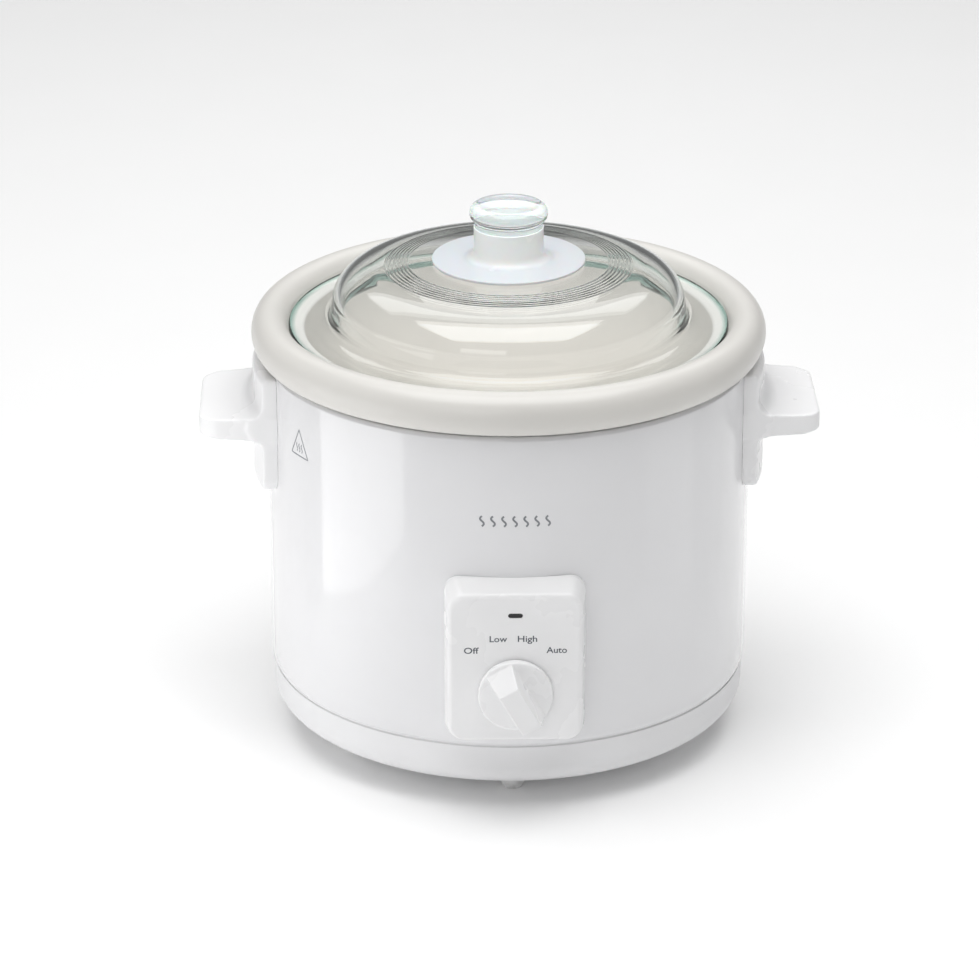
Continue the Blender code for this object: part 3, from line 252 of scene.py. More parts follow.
def inside_share_group():
    """How far a place is inside a radius from the pot's axis, as 0 to 1."""
    tree, given, out = new_group(
        "inside_share", {"Radius": ("Float", 0.13), "Blend": ("Float", 0.004)}, {"Mask": "Float"})
    reach, _ = reach_from_axis(tree)
    low = worked_out(tree, "SUBTRACT", given["Radius"], given["Blend"])
    feed(tree, remap(tree, reach, low, given["Radius"], 1.0, 0.0), out, "Mask")
    return tree


TONE_DRIFT = tone_drift_group()
INSIDE_SHARE = inside_share_group()
SKIN_RIPPLE = skin_ripple_group()
LATHE_LINES = lathe_lines_group()
SLEEVE_WEAVE = sleeve_weave_group()
FOOT_SCUFF = foot_scuff_group()


# ---------------------------------------------------------------- finishes


SCUFF_GREY = (0.55, 0.54, 0.52)
EDGE_GREEN = (0.6, 0.8, 0.76)
PAST_THE_COOKER = 1.0


def linear(colour):
    """A screen colour of 0 to 1 as the light it stands for."""
    return (*[((c + 0.055) / 1.055) ** 2.4 if c > 0.04 else c / 12.92 for c in colour], 1.0)


def finish(name, **sockets):
    """A new material, its shader's own sockets set, and the tree to build on."""
    made = bpy.data.materials.new(name)
    made.use_nodes = True
    tree = made.node_tree
    shader = tree.nodes["Principled BSDF"]
    for socket, value in sockets.items():
        shader.inputs[socket.replace("_", " ")].default_value = value
    return made, tree, shader


def place_group(tree, group, **values):
    """The outputs of a group placed in a material; values are its inputs, with _ for each space."""
    node = add(tree, "Group", node_tree=group)
    for socket, value in values.items():
        feed(tree, value, node, socket.replace("_", " "))
    return node.outputs


def bump(tree, shader, height, strength, distance):
    node = add(tree, "Bump")
    feed(tree, height, node, "Height")
    feed(tree, strength, node, "Strength")
    feed(tree, distance, node, "Distance")
    feed(tree, node.outputs["Normal"], shader, "Normal")


def moulded(name, colour, drift, gloss, patch=14.0, grain=0.2, ripple=0.02 * MM, **sockets):
    """Painted, moulded or glazed stuff: two tones, an uneven skin and a varying gloss."""
    made, tree, shader = finish(name, **sockets)
    tones = place_group(tree, TONE_DRIFT, Colour=linear(colour), Drift_Colour=linear(drift),
                        Patch_Scale=patch, Fleck=0.08)
    feed(tree, tones["Colour"], shader, "Base Color")
    skin = place_group(tree, SKIN_RIPPLE, Gloss_Low=gloss[0], Gloss_High=gloss[1], Grain=grain)
    feed(tree, skin["Roughness"], shader, "Roughness")
    bump(tree, shader, skin["Height"], 0.25, ripple)
    return made


def scuffed(name, colour, drift, gloss, scuff_height, amount):
    """White moulding that is a little rubbed and grey near the table."""
    made = moulded(name, colour, drift, gloss)
    tree = made.node_tree
    shader = tree.nodes["Principled BSDF"]
    mask = place_group(tree, FOOT_SCUFF, Height=scuff_height, Amount=amount)["Mask"]
    clean = shader.inputs["Base Color"].links[0].from_socket
    feed(tree, mix_colour(tree, mask, clean, linear(SCUFF_GREY)), shader, "Base Color")
    return made


def painted_light_inside(name, outer, inner, radius, gloss, **sockets):
    """A moulded finish that is paler within a radius of the pot's axis; the paler part is painted light, a
    lit copy of the same material.
    """
    made = moulded(name, outer, [c * 0.985 for c in outer], gloss, ripple=0.03 * MM, **sockets)
    tree = made.node_tree
    shader = tree.nodes["Principled BSDF"]
    # painted light: inside the radius the colour turns paler, standing in for light falling there
    mask = place_group(tree, INSIDE_SHARE, Radius=radius)["Mask"]
    outer_tone = shader.inputs["Base Color"].links[0].from_socket
    feed(tree, mix_colour(tree, mask, outer_tone, linear(inner)), shader, "Base Color")
    return made


def sheet_metal(name, colour, gloss):
    """Bare metal, drawn or plated, with the fine rings that its rolls or its press left."""
    made, tree, shader = finish(name, Metallic=1.0)
    tones = place_group(tree, TONE_DRIFT, Colour=linear(colour),
                        Drift_Colour=linear([c * 0.86 for c in colour]), Patch_Scale=25.0)
    feed(tree, tones["Colour"], shader, "Base Color")
    lines = place_group(tree, LATHE_LINES, Gloss_Low=gloss[0], Gloss_High=gloss[1])
    feed(tree, lines["Roughness"], shader, "Roughness")
    bump(tree, shader, lines["Height"], 0.15, 0.02 * MM)
    return made


def woven(name, colour, shade):
    """A glass-fibre sleeve, its threads in one tone and the gaps between them in a darker one."""
    made, tree, shader = finish(name, Roughness=0.8)
    weave = place_group(tree, SLEEVE_WEAVE)
    feed(tree, mix_colour(tree, weave["Mask"], linear(shade), linear(colour)), shader, "Base Color")
    bump(tree, shader, weave["Height"], 0.6, 0.2 * MM)
    return made


def pressed_glass(name, tint, ripple, depth_tint, edge=PAST_THE_COOKER):
    """Clear soda glass that lets light through to what it covers, green in depth and past the edge."""
    made, tree, shader = finish(name, Transmission_Weight=1.0, IOR=1.5, Metallic=0.0)
    tones = place_group(tree, TONE_DRIFT, Colour=linear(tint),
                        Drift_Colour=linear([c * 0.997 for c in tint]), Patch_Scale=20.0, Fleck=0.0)
    mask = place_group(tree, INSIDE_SHARE, Radius=edge)["Mask"]
    feed(tree, mix_colour(tree, mask, linear(EDGE_GREEN), tones["Colour"]), shader, "Base Color")
    skin = place_group(tree, SKIN_RIPPLE, Wave_Scale=60.0, Grain=0.0, Gloss_Low=0.0, Gloss_High=0.02)
    feed(tree, skin["Roughness"], shader, "Roughness")
    bump(tree, shader, skin["Height"], 0.2, ripple)
    path = add(tree, "LightPath").outputs
    through = add(tree, "BsdfTransparent")
    through.inputs["Color"].default_value = (1, 1, 1, 1)
    either = worked_out(tree, "MAXIMUM", path["Is Shadow Ray"], path["Is Diffuse Ray"])
    mixed = add(tree, "MixShader")
    feed(tree, either, mixed, 0)
    tree.links.new(shader.outputs[0], mixed.inputs[1])
    tree.links.new(through.outputs[0], mixed.inputs[2])
    ending = tree.nodes["Material Output"]
    tree.links.new(mixed.outputs[0], ending.inputs["Surface"])
    absorb = add(tree, "VolumeAbsorption")
    absorb.inputs["Color"].default_value = (0.3, 0.95, 0.88, 1)
    absorb.inputs["Density"].default_value = depth_tint
    tree.links.new(absorb.outputs[0], ending.inputs["Volume"])
    return made


ENAMEL = moulded("sprayed_enamel", (0.9, 0.9, 0.907), (0.89, 0.89, 0.897), (0.16, 0.2),
                 ripple=0.02 * MM, grain=0.1, Coat_Weight=1.0, Coat_Roughness=0.07)
WHITE_MOULDING = moulded("white_moulding", (0.95, 0.95, 0.953), (0.94, 0.94, 0.943), (0.24, 0.3),
                         ripple=0.01 * MM, grain=0.1)
TRAY_MOULDING = scuffed("tray_moulding", (0.92, 0.92, 0.925), (0.905, 0.905, 0.91), (0.3, 0.38),
                        30 * MM, 0.15)
FOOT_MOULDING = scuffed("foot_moulding", (0.92, 0.92, 0.92), (0.9, 0.9, 0.9), (0.4, 0.5), 6 * MM, 0.6)
# painted light and shade: the glaze is paler inside the rim, lifting the pot's inside under the lid, and
# darker on the rim and outside, toning down its brightly lit front
GLAZE = painted_light_inside("cream_glaze", (0.857, 0.849, 0.831), (0.966, 0.954, 0.938), 0.128, (0.3, 0.42),
                     Coat_Weight=0.15, Coat_Roughness=0.25)
CLEAR_GLASS = pressed_glass("clear_glass", (0.997, 0.998, 0.996), 0.05 * MM, 3.0,
                            LID_RADIUS - 0.5 * MM)
KNOB_GLASS = pressed_glass("knob_glass", (0.95, 0.952, 0.955), 0.03 * MM, 0.6)
# painted light and shade: the skirt round the knob's stem is a paler copy of the resin, lifting its shaded
# upright face, and the flat disc a darker one, toning down its brightly lit top
MILKY_RESIN = painted_light_inside("milky_resin", (0.85, 0.872, 0.89), (0.97, 0.98, 0.978), 0.025, (0.2, 0.3),
                           Subsurface_Weight=0.3, Subsurface_Scale=0.003)
ALUMINIUM = sheet_metal("drawn_aluminium", (0.8, 0.8, 0.79), (0.25, 0.4))
ZINC = sheet_metal("zinc_plate", (0.72, 0.73, 0.74), (0.25, 0.45))
SMOKED = moulded("smoked_window", (0.06, 0.06, 0.07), (0.04, 0.04, 0.05), (0.08, 0.14))
INK = moulded("printed_ink", (0.24, 0.26, 0.3), (0.28, 0.3, 0.34), (0.4, 0.5), grain=0.5)
FAINT_INK = moulded("faint_ink", (0.5, 0.51, 0.53), (0.54, 0.55, 0.57), (0.3, 0.4), grain=0.5)
BAKELITE = moulded("brown_bakelite", (0.25, 0.16, 0.1), (0.3, 0.2, 0.13), (0.35, 0.5))
BLACK_MOULDING = moulded("black_moulding", (0.07, 0.07, 0.08), (0.1, 0.1, 0.11), (0.4, 0.55))
HEATER_SLEEVE = woven("heater_sleeve", (0.76, 0.66, 0.46), (0.5, 0.42, 0.28))
FIBRE_SLEEVE = woven("fibre_sleeve", (0.88, 0.87, 0.83), (0.66, 0.65, 0.6))
RED_SLEEVE = moulded("red_sleeve", (0.62, 0.12, 0.1), (0.55, 0.1, 0.09), (0.4, 0.5))
BLUE_SLEEVE = moulded("blue_sleeve", (0.12, 0.22, 0.55), (0.1, 0.18, 0.48), (0.4, 0.5))
LAMP_GLASS = moulded("lamp_glass", (0.93, 0.6, 0.35), (0.9, 0.55, 0.3), (0.02, 0.06))


# ---------------------------------------------------------------- shapes


def arc(centre, radius, start, end, steps, height=None):
    """Points on an arc, or on an ellipse where height differs from radius; angles in degrees."""
    height = radius if height is None else height
    angles = [math.radians(start + (end - start) * i / steps) for i in range(steps + 1)]
    return [(centre[0] + radius * math.cos(a), centre[1] + height * math.sin(a)) for a in angles]


def bend(start, corner, end, steps):
    """Points on a curve that leaves start and reaches end along the two sides of a corner."""
    points = []
    for i in range(steps + 1):
        t = i / steps
        weights = ((1 - t) ** 2, 2 * t * (1 - t), t * t)
        points.append(
            tuple(sum(w * p[k] for w, p in zip(weights, (start, corner, end))) for k in (0, 1)))
    return points


def soften(profile, radius, closed):
    """The same profile with each plain corner rounded, by less than half of its shorter side."""
    rounded = []
    count = len(profile)
    for i, here in enumerate(profile):
        if not closed and i in (0, count - 1):
            rounded.append(here)
            continue
        before, after = profile[i - 1], profile[(i + 1) % count]
        a, b = Vector(before) - Vector(here), Vector(after) - Vector(here)
        cut = min(radius, a.length * 0.45, b.length * 0.45)
        if cut < 0.02 * MM or a.angle(b) > math.radians(165):
            rounded.append(here)
            continue
        rounded += bend(tuple(Vector(here) + a.normalized() * cut), here,
                        tuple(Vector(here) + b.normalized() * cut), 4)
    return rounded


def show(name, mesh, material, body, *nodes, slot=None):
    """A finished piece: it rides on a body and stands for the CAD nodes named."""
    mesh.name = name
    mesh.materials.clear()
    mesh.materials.append(material)
    piece = bpy.data.objects.new(name, mesh)
    bpy.context.scene.collection.objects.link(piece)
    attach(piece, body)
    if nodes:
        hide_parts(*nodes)


def evaluated(obj):
    """The object's mesh with its modifiers applied; the object itself goes."""
    bpy.context.view_layer.update()
    graph = bpy.context.evaluated_depsgraph_get()
    mesh = bpy.data.meshes.new_from_object(obj.evaluated_get(graph))
    mesh.transform(obj.matrix_world)
    bpy.data.objects.remove(obj, do_unlink=True)
    return mesh


def rough_object(mesh):
    """A passing object that carries a mesh, or a text, through its modifiers."""
    obj = bpy.data.objects.new("rough", mesh)
    bpy.context.scene.collection.objects.link(obj)
    return obj


def smooth(mesh, sharp=40):
    """Smooth shading but for the edges that turn by more than the sharp angle, in degrees."""
    mesh.shade_smooth()
    mesh.set_sharp_from_angle(angle=math.radians(sharp))
    return mesh


def even_normals(mesh, sharp=30):
    """Smooth shading that keeps large faces flat beside their rounded edges."""
    obj = rough_object(smooth(mesh, sharp))
    weigh = obj.modifiers.new("WeightedNormal", "WEIGHTED_NORMAL")
    weigh.keep_sharp = True
    return evaluated(obj)


def spun(profile, closed=False, facets=FINE, matrix=None):
    """The solid that a profile sweeps round the pot's axis; it runs down its outer side."""
    mesh = bpy.data.meshes.new("spun")
    edges = [(i, i + 1) for i in range(len(profile) - 1)]
    if closed:
        edges.append((len(profile) - 1, 0))
    mesh.from_pydata([(r, 0, z) for r, z in profile], edges, [])
    obj = rough_object(mesh)
    screw = obj.modifiers.new("Screw", "SCREW")
    screw.steps = screw.render_steps = facets
    screw.use_merge_vertices = True
    screw.merge_threshold = 0.00001
    mesh = evaluated(obj)
    mesh.transform(Matrix.Translation((0, AXIS_Y, 0)) @ (matrix or Matrix()))
    return smooth(mesh)


def boolean(mesh, *others, operation="DIFFERENCE"):
    """The mesh with each of the others cut from it, joined to it or kept in common."""
    obj = rough_object(mesh)
    helpers = [rough_object(other) for other in others]
    for helper in helpers:
        step = obj.modifiers.new("Boolean", "BOOLEAN")
        step.operation = operation
        step.solver = "EXACT"
        step.object = helper
    mesh = evaluated(obj)
    for helper in helpers:
        bpy.data.objects.remove(helper, do_unlink=True)
    return mesh


def mesh_of(bm):
    """The mesh that a working mesh holds; the working one goes."""
    mesh = bpy.data.meshes.new("shape")
    bm.to_mesh(mesh)
    bm.free()
    return mesh


def rod(radius, start, end, facets=SMALL):
    """A closed cylinder between two places."""
    start, end = Vector(start), Vector(end)
    turn = (end - start).to_track_quat("Z", "Y").to_matrix().to_4x4()
    bm = bmesh.new()
    bmesh.ops.create_cone(bm, cap_ends=True, segments=facets, radius1=radius, radius2=radius,
                          depth=(end - start).length,
                          matrix=Matrix.Translation((start + end) / 2) @ turn)
    return mesh_of(bm)


def on_axis(x, y, z):
    """A place measured from the pot's axis."""
    return (x, AXIS_Y + y, z)


# ---------------------------------------------------------------- camera and light


def aim(obj, target):
    direction = Vector(target) - obj.location
    obj.rotation_euler = direction.to_track_quat("-Z", "Y").to_euler()


def camera():
    """A long lens, 22.5 degrees above the pot and just left of its front."""
    pitch, turn = math.radians(22.5), math.radians(-1.3)
    distance, aside, height = 2.6, -11.1 * MM, 142.8 * MM
    target = Vector(on_axis(aside * math.cos(turn), aside * math.sin(turn), height))
    back = Vector((math.sin(turn) * math.cos(pitch), -math.cos(turn) * math.cos(pitch),
                   math.sin(pitch)))
    data = bpy.data.cameras.new("camera")
    data.lens, data.sensor_width = 161.35, 36.0
    data.clip_start, data.clip_end = 0.1, 20.0
    made = bpy.data.objects.new("camera", data)
    bpy.context.scene.collection.objects.link(made)
    made.location = target + back * distance
    aim(made, target)
    bpy.context.scene.camera = made


def lamp(name, place, target, size, power):
    data = bpy.data.lights.new(name, "AREA")
    data.shape = "RECTANGLE"
    data.size, data.size_y = size
    data.energy = power
    made = bpy.data.objects.new(name, data)
    bpy.context.scene.collection.objects.link(made)
    made.location = place
    aim(made, target)


LEFT_POWER, RIGHT_POWER = 0.3, 0.03
TOP_POWER, BACK_POWER, FRONT_POWER = 45.0, 14.0, 4.5
SKY_GLOW, LEFT_GLOW, TABLE_GLOW = 0.16, 0.08, 0.06


def surround():
    """An even pale surround, brighter towards the left."""
    world = bpy.data.worlds.new("studio")
    bpy.context.scene.world = world
    world.use_nodes = True
    tree = world.node_tree
    parts = add(tree, "SeparateXYZ")
    feed(tree, add(tree, "TexCoord").outputs["Generated"], parts, 0)
    leftward = worked_out(tree, "MULTIPLY", worked_out(tree, "MINIMUM", parts.outputs["X"], 0.0),
                          -LEFT_GLOW)
    back = tree.nodes["Background"]
    back.inputs["Color"].default_value = (1, 1, 1, 1)
    feed(tree, worked_out(tree, "ADD", leftward, SKY_GLOW), back, "Strength")


def studio():
    """Low soft boxes by the sides, large ones above, behind and in front, and a table that glows."""
    middle = (0, 0, 0.15)
    lamp("left_softbox", (-0.36, -0.19, 0.13), (0, -0.19, 0.13), (0.32, 0.25), LEFT_POWER)
    lamp("right_softbox", (0.38, -0.15, 0.13), (0, -0.15, 0.13), (0.18, 0.25), RIGHT_POWER)
    lamp("top_softbox", (0, -0.3, 2.1), middle, (2.4, 1.8), TOP_POWER)
    lamp("back_softbox", (0, 1.6, 1.8), (0, 1.4, 0), (2.4, 1.2), BACK_POWER)
    lamp("front_softbox", (-0.7, -2.2, 0.8), middle, (1.2, 0.8), FRONT_POWER)
    surround()
    bpy.context.scene.view_settings.view_transform = "Standard"
    bm = bmesh.new()
    bmesh.ops.create_grid(bm, x_segments=1, y_segments=1, size=6.0)
    floor = bpy.data.objects.new("floor", mesh_of(bm))
    bpy.context.scene.collection.objects.link(floor)
    floor.data.materials.append(
        moulded("pale_floor", (0.97, 0.97, 0.97), (0.965, 0.965, 0.965), (0.7, 0.8), patch=1.0,
                Emission_Color=(1, 1, 1, 1), Emission_Strength=TABLE_GLOW))


# ---------------------------------------------------------------- housing


SHEET = 0.6 * MM  # thickness of the shell
TUCK = 1.1 * MM  # how far the shell's foot turns in over the tray


def enamel_shell():
    """The painted sheet-metal cylinder: a top flange, a rounded shoulder and a turned-in foot."""
    tuck_rise, shoulder, flange = 9 * MM, 2.6 * MM, 8 * MM
    gland_hole, spindle_hole, lamp_hole = 6.3 * MM, 4.9 * MM, 3 * MM
    inside = BODY_RADIUS - SHEET
    corner = (BODY_RADIUS - shoulder, SHELL_TOP - shoulder)
    turned_in = bend((BODY_RADIUS, SHELL_BOTTOM + tuck_rise), (BODY_RADIUS, SHELL_BOTTOM + tuck_rise / 3),
                     (BODY_RADIUS - TUCK, SHELL_BOTTOM + 0.4 * MM), 8)
    profile = [
        (BODY_RADIUS - flange, SHELL_TOP),
        *arc(corner, shoulder, 90, 0, 8),
        *turned_in,
        (BODY_RADIUS - TUCK - 0.3 * MM, SHELL_BOTTOM),
        (inside - TUCK, SHELL_BOTTOM + 0.2 * MM),
        (inside, SHELL_BOTTOM + tuck_rise),
        *arc(corner, shoulder - SHEET, 0, 90, 4),
        (BODY_RADIUS - flange, SHELL_TOP - SHEET),
    ]
    start, end = BODY_RADIUS - 10 * MM, BODY_RADIUS + 10 * MM
    holes = [rod(gland_hole, on_axis(0, start, GLAND_Z), on_axis(0, end, GLAND_Z))]
    for height, radius in ((DIAL_Z, spindle_hole), (LENS_Z, lamp_hole)):
        holes.append(rod(radius, on_axis(0, -start, height), on_axis(0, -end, height), 32))
    mesh = even_normals(boolean(spun(profile, closed=True), *holes))
    show("enamel_shell", mesh, ENAMEL, "housing", "outer_shell", slot="white_enamel")


def moulded_tray():
    """The base ring: a spigot inside the shell, a wall that curves under, and an open floor."""
    wall, spigot_height = 2.5 * MM, 8 * MM
    inside = TRAY_RADIUS - wall
    top = span("base_tray", 2)[1] - spigot_height
    spigot = BODY_RADIUS - TUCK - SHEET - 0.6 * MM
    slope_start, slope_end = BODY_RADIUS - 28.7 * MM, BODY_RADIUS - 13 * MM
    slope_top = TRAY_FLOOR + 6.4 * MM
    opening = BODY_RADIUS - 44.7 * MM
    side_bottom = 28 * MM
    profile = [
        (spigot, top + spigot_height),
        (spigot, top),
        (TRAY_RADIUS - 0.7 * MM, top),
        (TRAY_RADIUS, top - 0.7 * MM),
        *bend((TRAY_RADIUS, side_bottom), (TRAY_RADIUS, slope_top + wall * 2), (slope_end, slope_top), 14),
        (slope_start + 3 * MM, TRAY_FLOOR + 0.9 * MM),
        (slope_start, TRAY_FLOOR),
        (opening + 0.5 * MM, TRAY_FLOOR),
        (opening, TRAY_FLOOR + 0.5 * MM),
        (opening, TRAY_FLOOR + wall),
        (slope_start, TRAY_FLOOR + wall),
        *bend((slope_end, slope_top + wall), (inside, slope_top + wall * 3), (inside, side_bottom), 8),
        (inside, top + spigot_height),
    ]
    show("moulded_tray", spun(profile, closed=True), TRAY_MOULDING, "housing", "base_tray",
         slot="white_plastic")


def foot_pads():
    """Six short feet that taper to a rounded tip, each with a neck up through the tray's floor."""
    for number in range(1, 7):
        node = f"foot_{number}"
        low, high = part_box(node)
        middle = [(low[k] + high[k]) / 2 for k in (0, 1)]
        radius = (high[0] - low[0]) / 2
        top = TRAY_FLOOR - 0.3 * MM
        profile = soften([(0, high[2]), (2.4 * MM, high[2]), (2.4 * MM, top), (radius, top),
                          (radius, top * 0.55), (radius * 0.78, 0.5 * MM), (radius * 0.72, 0), (0, 0)],
                         0.8 * MM, closed=False)
        spot = Matrix.Translation((middle[0], middle[1] - AXIS_Y, 0))
        pad = spun(profile, facets=SMALL, matrix=spot)
        show(f"foot_pad_{number}", pad, FOOT_MOULDING, "housing", node, slot="white_plastic")


POT_TAPER = math.radians(4.3)
POT_CORNER = 28 * MM
POT_WALL = 7 * MM
RIM_HALF_WIDTH, RIM_HALF_HEIGHT = 11 * MM, 12.5 * MM
RIM_BOTTOM = RIM_CREST - 2 * RIM_HALF_HEIGHT
POT_FILLET = 3 * MM
POT_WALL_INSET = 17 * MM
POT_WALL_RADIUS = BODY_RADIUS - POT_WALL_INSET
POT_CORNER_Z = POT_BOTTOM + POT_CORNER
POT_CORNER_X = POT_WALL_RADIUS - (
    POT_CORNER + (RIM_BOTTOM - POT_FILLET - POT_CORNER_Z) * math.sin(POT_TAPER)) / math.cos(POT_TAPER)


def pot_surface(offset, steps=16):
    """The pot's outside from its tapered wall to the axis, moved outwards by offset."""
    radius = POT_CORNER + offset
    curve = arc((POT_CORNER_X, POT_CORNER_Z), radius, -math.degrees(POT_TAPER), -90, steps)
    return [*curve, (0, POT_BOTTOM - offset)]


def pot_wall_radius(height, offset):
    """The radius of the pot's tapered wall at a height, moved outwards by offset."""
    rise = (height - POT_CORNER_Z) * math.sin(POT_TAPER)
    return POT_CORNER_X + (POT_CORNER + offset + rise) / math.cos(POT_TAPER)


def liner_tub():
    """The drawn tub that follows the pot's outside, with a flange for the pot's rim to sit on."""
    clearance, sheet, flare = 2.5 * MM, 0.8 * MM, 4 * MM
    outer = clearance + sheet
    throat = LINER_TOP - flare
    inner_x, outer_x = pot_wall_radius(throat, clearance), pot_wall_radius(throat, outer)
    profile = [
        *reversed(pot_surface(clearance)),
        *bend((inner_x, throat), (inner_x, LINER_TOP), (inner_x + flare, LINER_TOP), 6),
        (LINER_RADIUS, LINER_TOP),
        (LINER_RADIUS, LINER_TOP - sheet),
        *bend((inner_x + flare, LINER_TOP - sheet), (outer_x, LINER_TOP - sheet), (outer_x, throat), 6),
        *pot_surface(outer),
    ]
    show("liner_tub", spun(profile), ALUMINIUM, "housing", "inner_liner", slot="liner_aluminium")


# ---------------------------------------------------------------- pot and lid


def glazed_pot():
    """A thick round rim with a ledge for the lid, over a wall that tapers to a rounded corner."""
    centre = (RIM_RADIUS - RIM_HALF_WIDTH, RIM_CREST - RIM_HALF_HEIGHT)
    recess = LID_RADIUS + 0.5 * MM
    start = math.degrees(math.acos((recess - centre[0]) / RIM_HALF_WIDTH))
    ledge = LID_BOTTOM - 0.3 * MM
    mouth = ledge - 2 * MM
    mouth_x = pot_wall_radius(mouth, -POT_WALL)
    profile = [
        *reversed(pot_surface(-POT_WALL)),
        *bend((mouth_x, mouth), (mouth_x, ledge), (mouth_x + 2.5 * MM, ledge), 6),
        *bend((recess - 1.2 * MM, ledge), (recess, ledge), (recess, ledge + 1.2 * MM), 5),
        *arc(centre, RIM_HALF_WIDTH, start, -90, 44, RIM_HALF_HEIGHT),
        *bend((POT_WALL_RADIUS + POT_FILLET, RIM_BOTTOM), (POT_WALL_RADIUS, RIM_BOTTOM),
              (POT_WALL_RADIUS, RIM_BOTTOM - POT_FILLET), 6),
        *pot_surface(0),
    ]
    show("glazed_pot", spun(profile), GLAZE, "pot", "ceramic_pot", slot="cream_glaze")


LID_GLASS = 4.6 * MM  # thickness of the lid's dome


def pressed_lid():
    """Flange, thick flare, upright wall, shoulder, seven ridge rings and a flat crown."""
    flange_top = LID_BOTTOM + 5.5 * MM
    wall = LID_RADIUS - 24.3 * MM
    flare_end = wall + 12.3 * MM
    waist = flange_top + 12.5 * MM
    shoulder_width, shoulder_rise = 28.5 * MM, 20.5 * MM
    centre = (wall - 1.5 * MM - shoulder_width, waist)
    crown_x, ridges_end = 57.7 * MM, 72.6 * MM
    shoulder = arc(centre, shoulder_width, 79, 0, 26, shoulder_rise)
    shoulder_top = shoulder[0]
    rings, ridge_height, slope_steps = 7, 0.16 * MM, 84
    ridges = []
    for i in range(slope_steps + 1):
        t = i / slope_steps
        x = crown_x + (ridges_end - crown_x) * t
        fall = (LID_TOP - shoulder_top[1]) * ((x - crown_x) / (shoulder_top[0] - crown_x))
        wave = ridge_height * (0.5 - 0.5 * math.cos(2 * math.pi * rings * t))
        ridges.append((x, LID_TOP - fall - ridge_height + wave))
    flare = bend((wall, flange_top + 7.5 * MM), (wall, flange_top), (flare_end, flange_top), 14)
    under = bend((flare_end - LID_GLASS, LID_BOTTOM), (wall - LID_GLASS, LID_BOTTOM + 1 * MM),
                 (wall - LID_GLASS, flange_top + 5.2 * MM), 10)
    edge = 1.6 * MM
    profile = [
        (0, LID_TOP - ridge_height),
        *ridges,
        *shoulder,
        *flare,
        *bend((LID_RADIUS - edge, flange_top), (LID_RADIUS, flange_top), (LID_RADIUS, flange_top - edge), 5),
        *bend((LID_RADIUS, LID_BOTTOM + edge), (LID_RADIUS, LID_BOTTOM), (LID_RADIUS - edge, LID_BOTTOM), 5),
        *under,
        *arc(centre, shoulder_width - LID_GLASS, 0, 79, 20, shoulder_rise - LID_GLASS),
        (crown_x, LID_TOP - LID_GLASS),
        (0, LID_TOP - LID_GLASS),
    ]
    show("pressed_lid", spun(profile), CLEAR_GLASS, "lid", "glass_lid", slot="lid_glass")


def lid_seat_and_knob():
    """The milky seat, with a skirt round the knob's stem, and the pressed-glass knob with its bead."""
    edge = 0.6 * MM
    stem, neck = 19.7 * MM, KNOB_TOP - 10.4 * MM
    inner, outer = stem + 0.1 * MM, stem + 0.6 * MM
    profile = [
        (0, SEAT_TOP),
        (inner, SEAT_TOP),
        (inner, neck - 3 * MM),
        (outer, neck - 3.3 * MM),
        (outer, SEAT_TOP + 9 * MM),
        *bend((outer, SEAT_TOP + 6 * MM), (outer, SEAT_TOP + 0.4 * MM), (outer + 7 * MM, SEAT_TOP), 10),
        *bend((SEAT_RADIUS - edge, SEAT_TOP), (SEAT_RADIUS, SEAT_TOP),
              (SEAT_RADIUS, SEAT_TOP - edge), 4),
        *bend((SEAT_RADIUS, SEAT_BOTTOM + edge), (SEAT_RADIUS, SEAT_BOTTOM),
              (SEAT_RADIUS - edge, SEAT_BOTTOM), 4),
        (0, SEAT_BOTTOM),
    ]
    show("milky_seat", spun(profile), MILKY_RESIN, "lid", "knob_seat", slot="milky_resin")
    bead, foot = 10.4 * MM, SEAT_TOP - 0.05 * MM
    middle = (KNOB_RADIUS - bead / 2, KNOB_TOP - bead / 2)
    dish = 1.6 * MM
    profile = [
        (0, KNOB_TOP - dish),
        *bend((middle[0] * 0.35, KNOB_TOP - dish * 0.85),
              (middle[0] * 0.85, KNOB_TOP - dish * 0.35),
              (middle[0] * 0.92, KNOB_TOP - 0.3 * MM), 8),
        *arc(middle, bead / 2, 88, -62, 24),
        *bend((stem + 0.9 * MM, neck + 0.6 * MM), (stem, neck), (stem, neck - 2.2 * MM), 8),
        (stem, foot),
        (0, foot),
    ]
    show("glass_knob", spun(profile, facets=128), KNOB_GLASS, "lid", "lid_knob", slot="lid_glass")


# ---------------------------------------------------------------- handles, panel and selector


def plate(points, thickness):
    """A flat outline in X and Y given a thickness along Z, centred on Z = 0."""
    bm = bmesh.new()
    for z in (-thickness / 2, thickness / 2):
        face = bm.faces.new([bm.verts.new((x, y, z)) for x, y in points])
        if z < 0:
            face.normal_flip()
    bm.verts.ensure_lookup_table()
    count = len(points)
    for i in range(count):
        j = (i + 1) % count
        bm.faces.new([bm.verts[i], bm.verts[j], bm.verts[j + count], bm.verts[i + count]])
    bmesh.ops.recalc_face_normals(bm, faces=bm.faces)
    return mesh_of(bm)


def rounded_outline(left, right, bottom, top, corners, steps=12):
    """A rectangle with a radius for each of left-bottom, right-bottom, right-top and left-top."""
    points = []
    for x, y, start, radius in zip((left, right, right, left), (bottom, bottom, top, top),
                                   (180, 270, 0, 90), corners):
        centre = (x + (radius if x == left else -radius), y + (radius if y == bottom else -radius))
        points += arc(centre, radius, start, start + 90, steps)
    return points


def moved(mesh, matrix):
    """The same mesh, once it is moved."""
    mesh.transform(matrix)
    return mesh


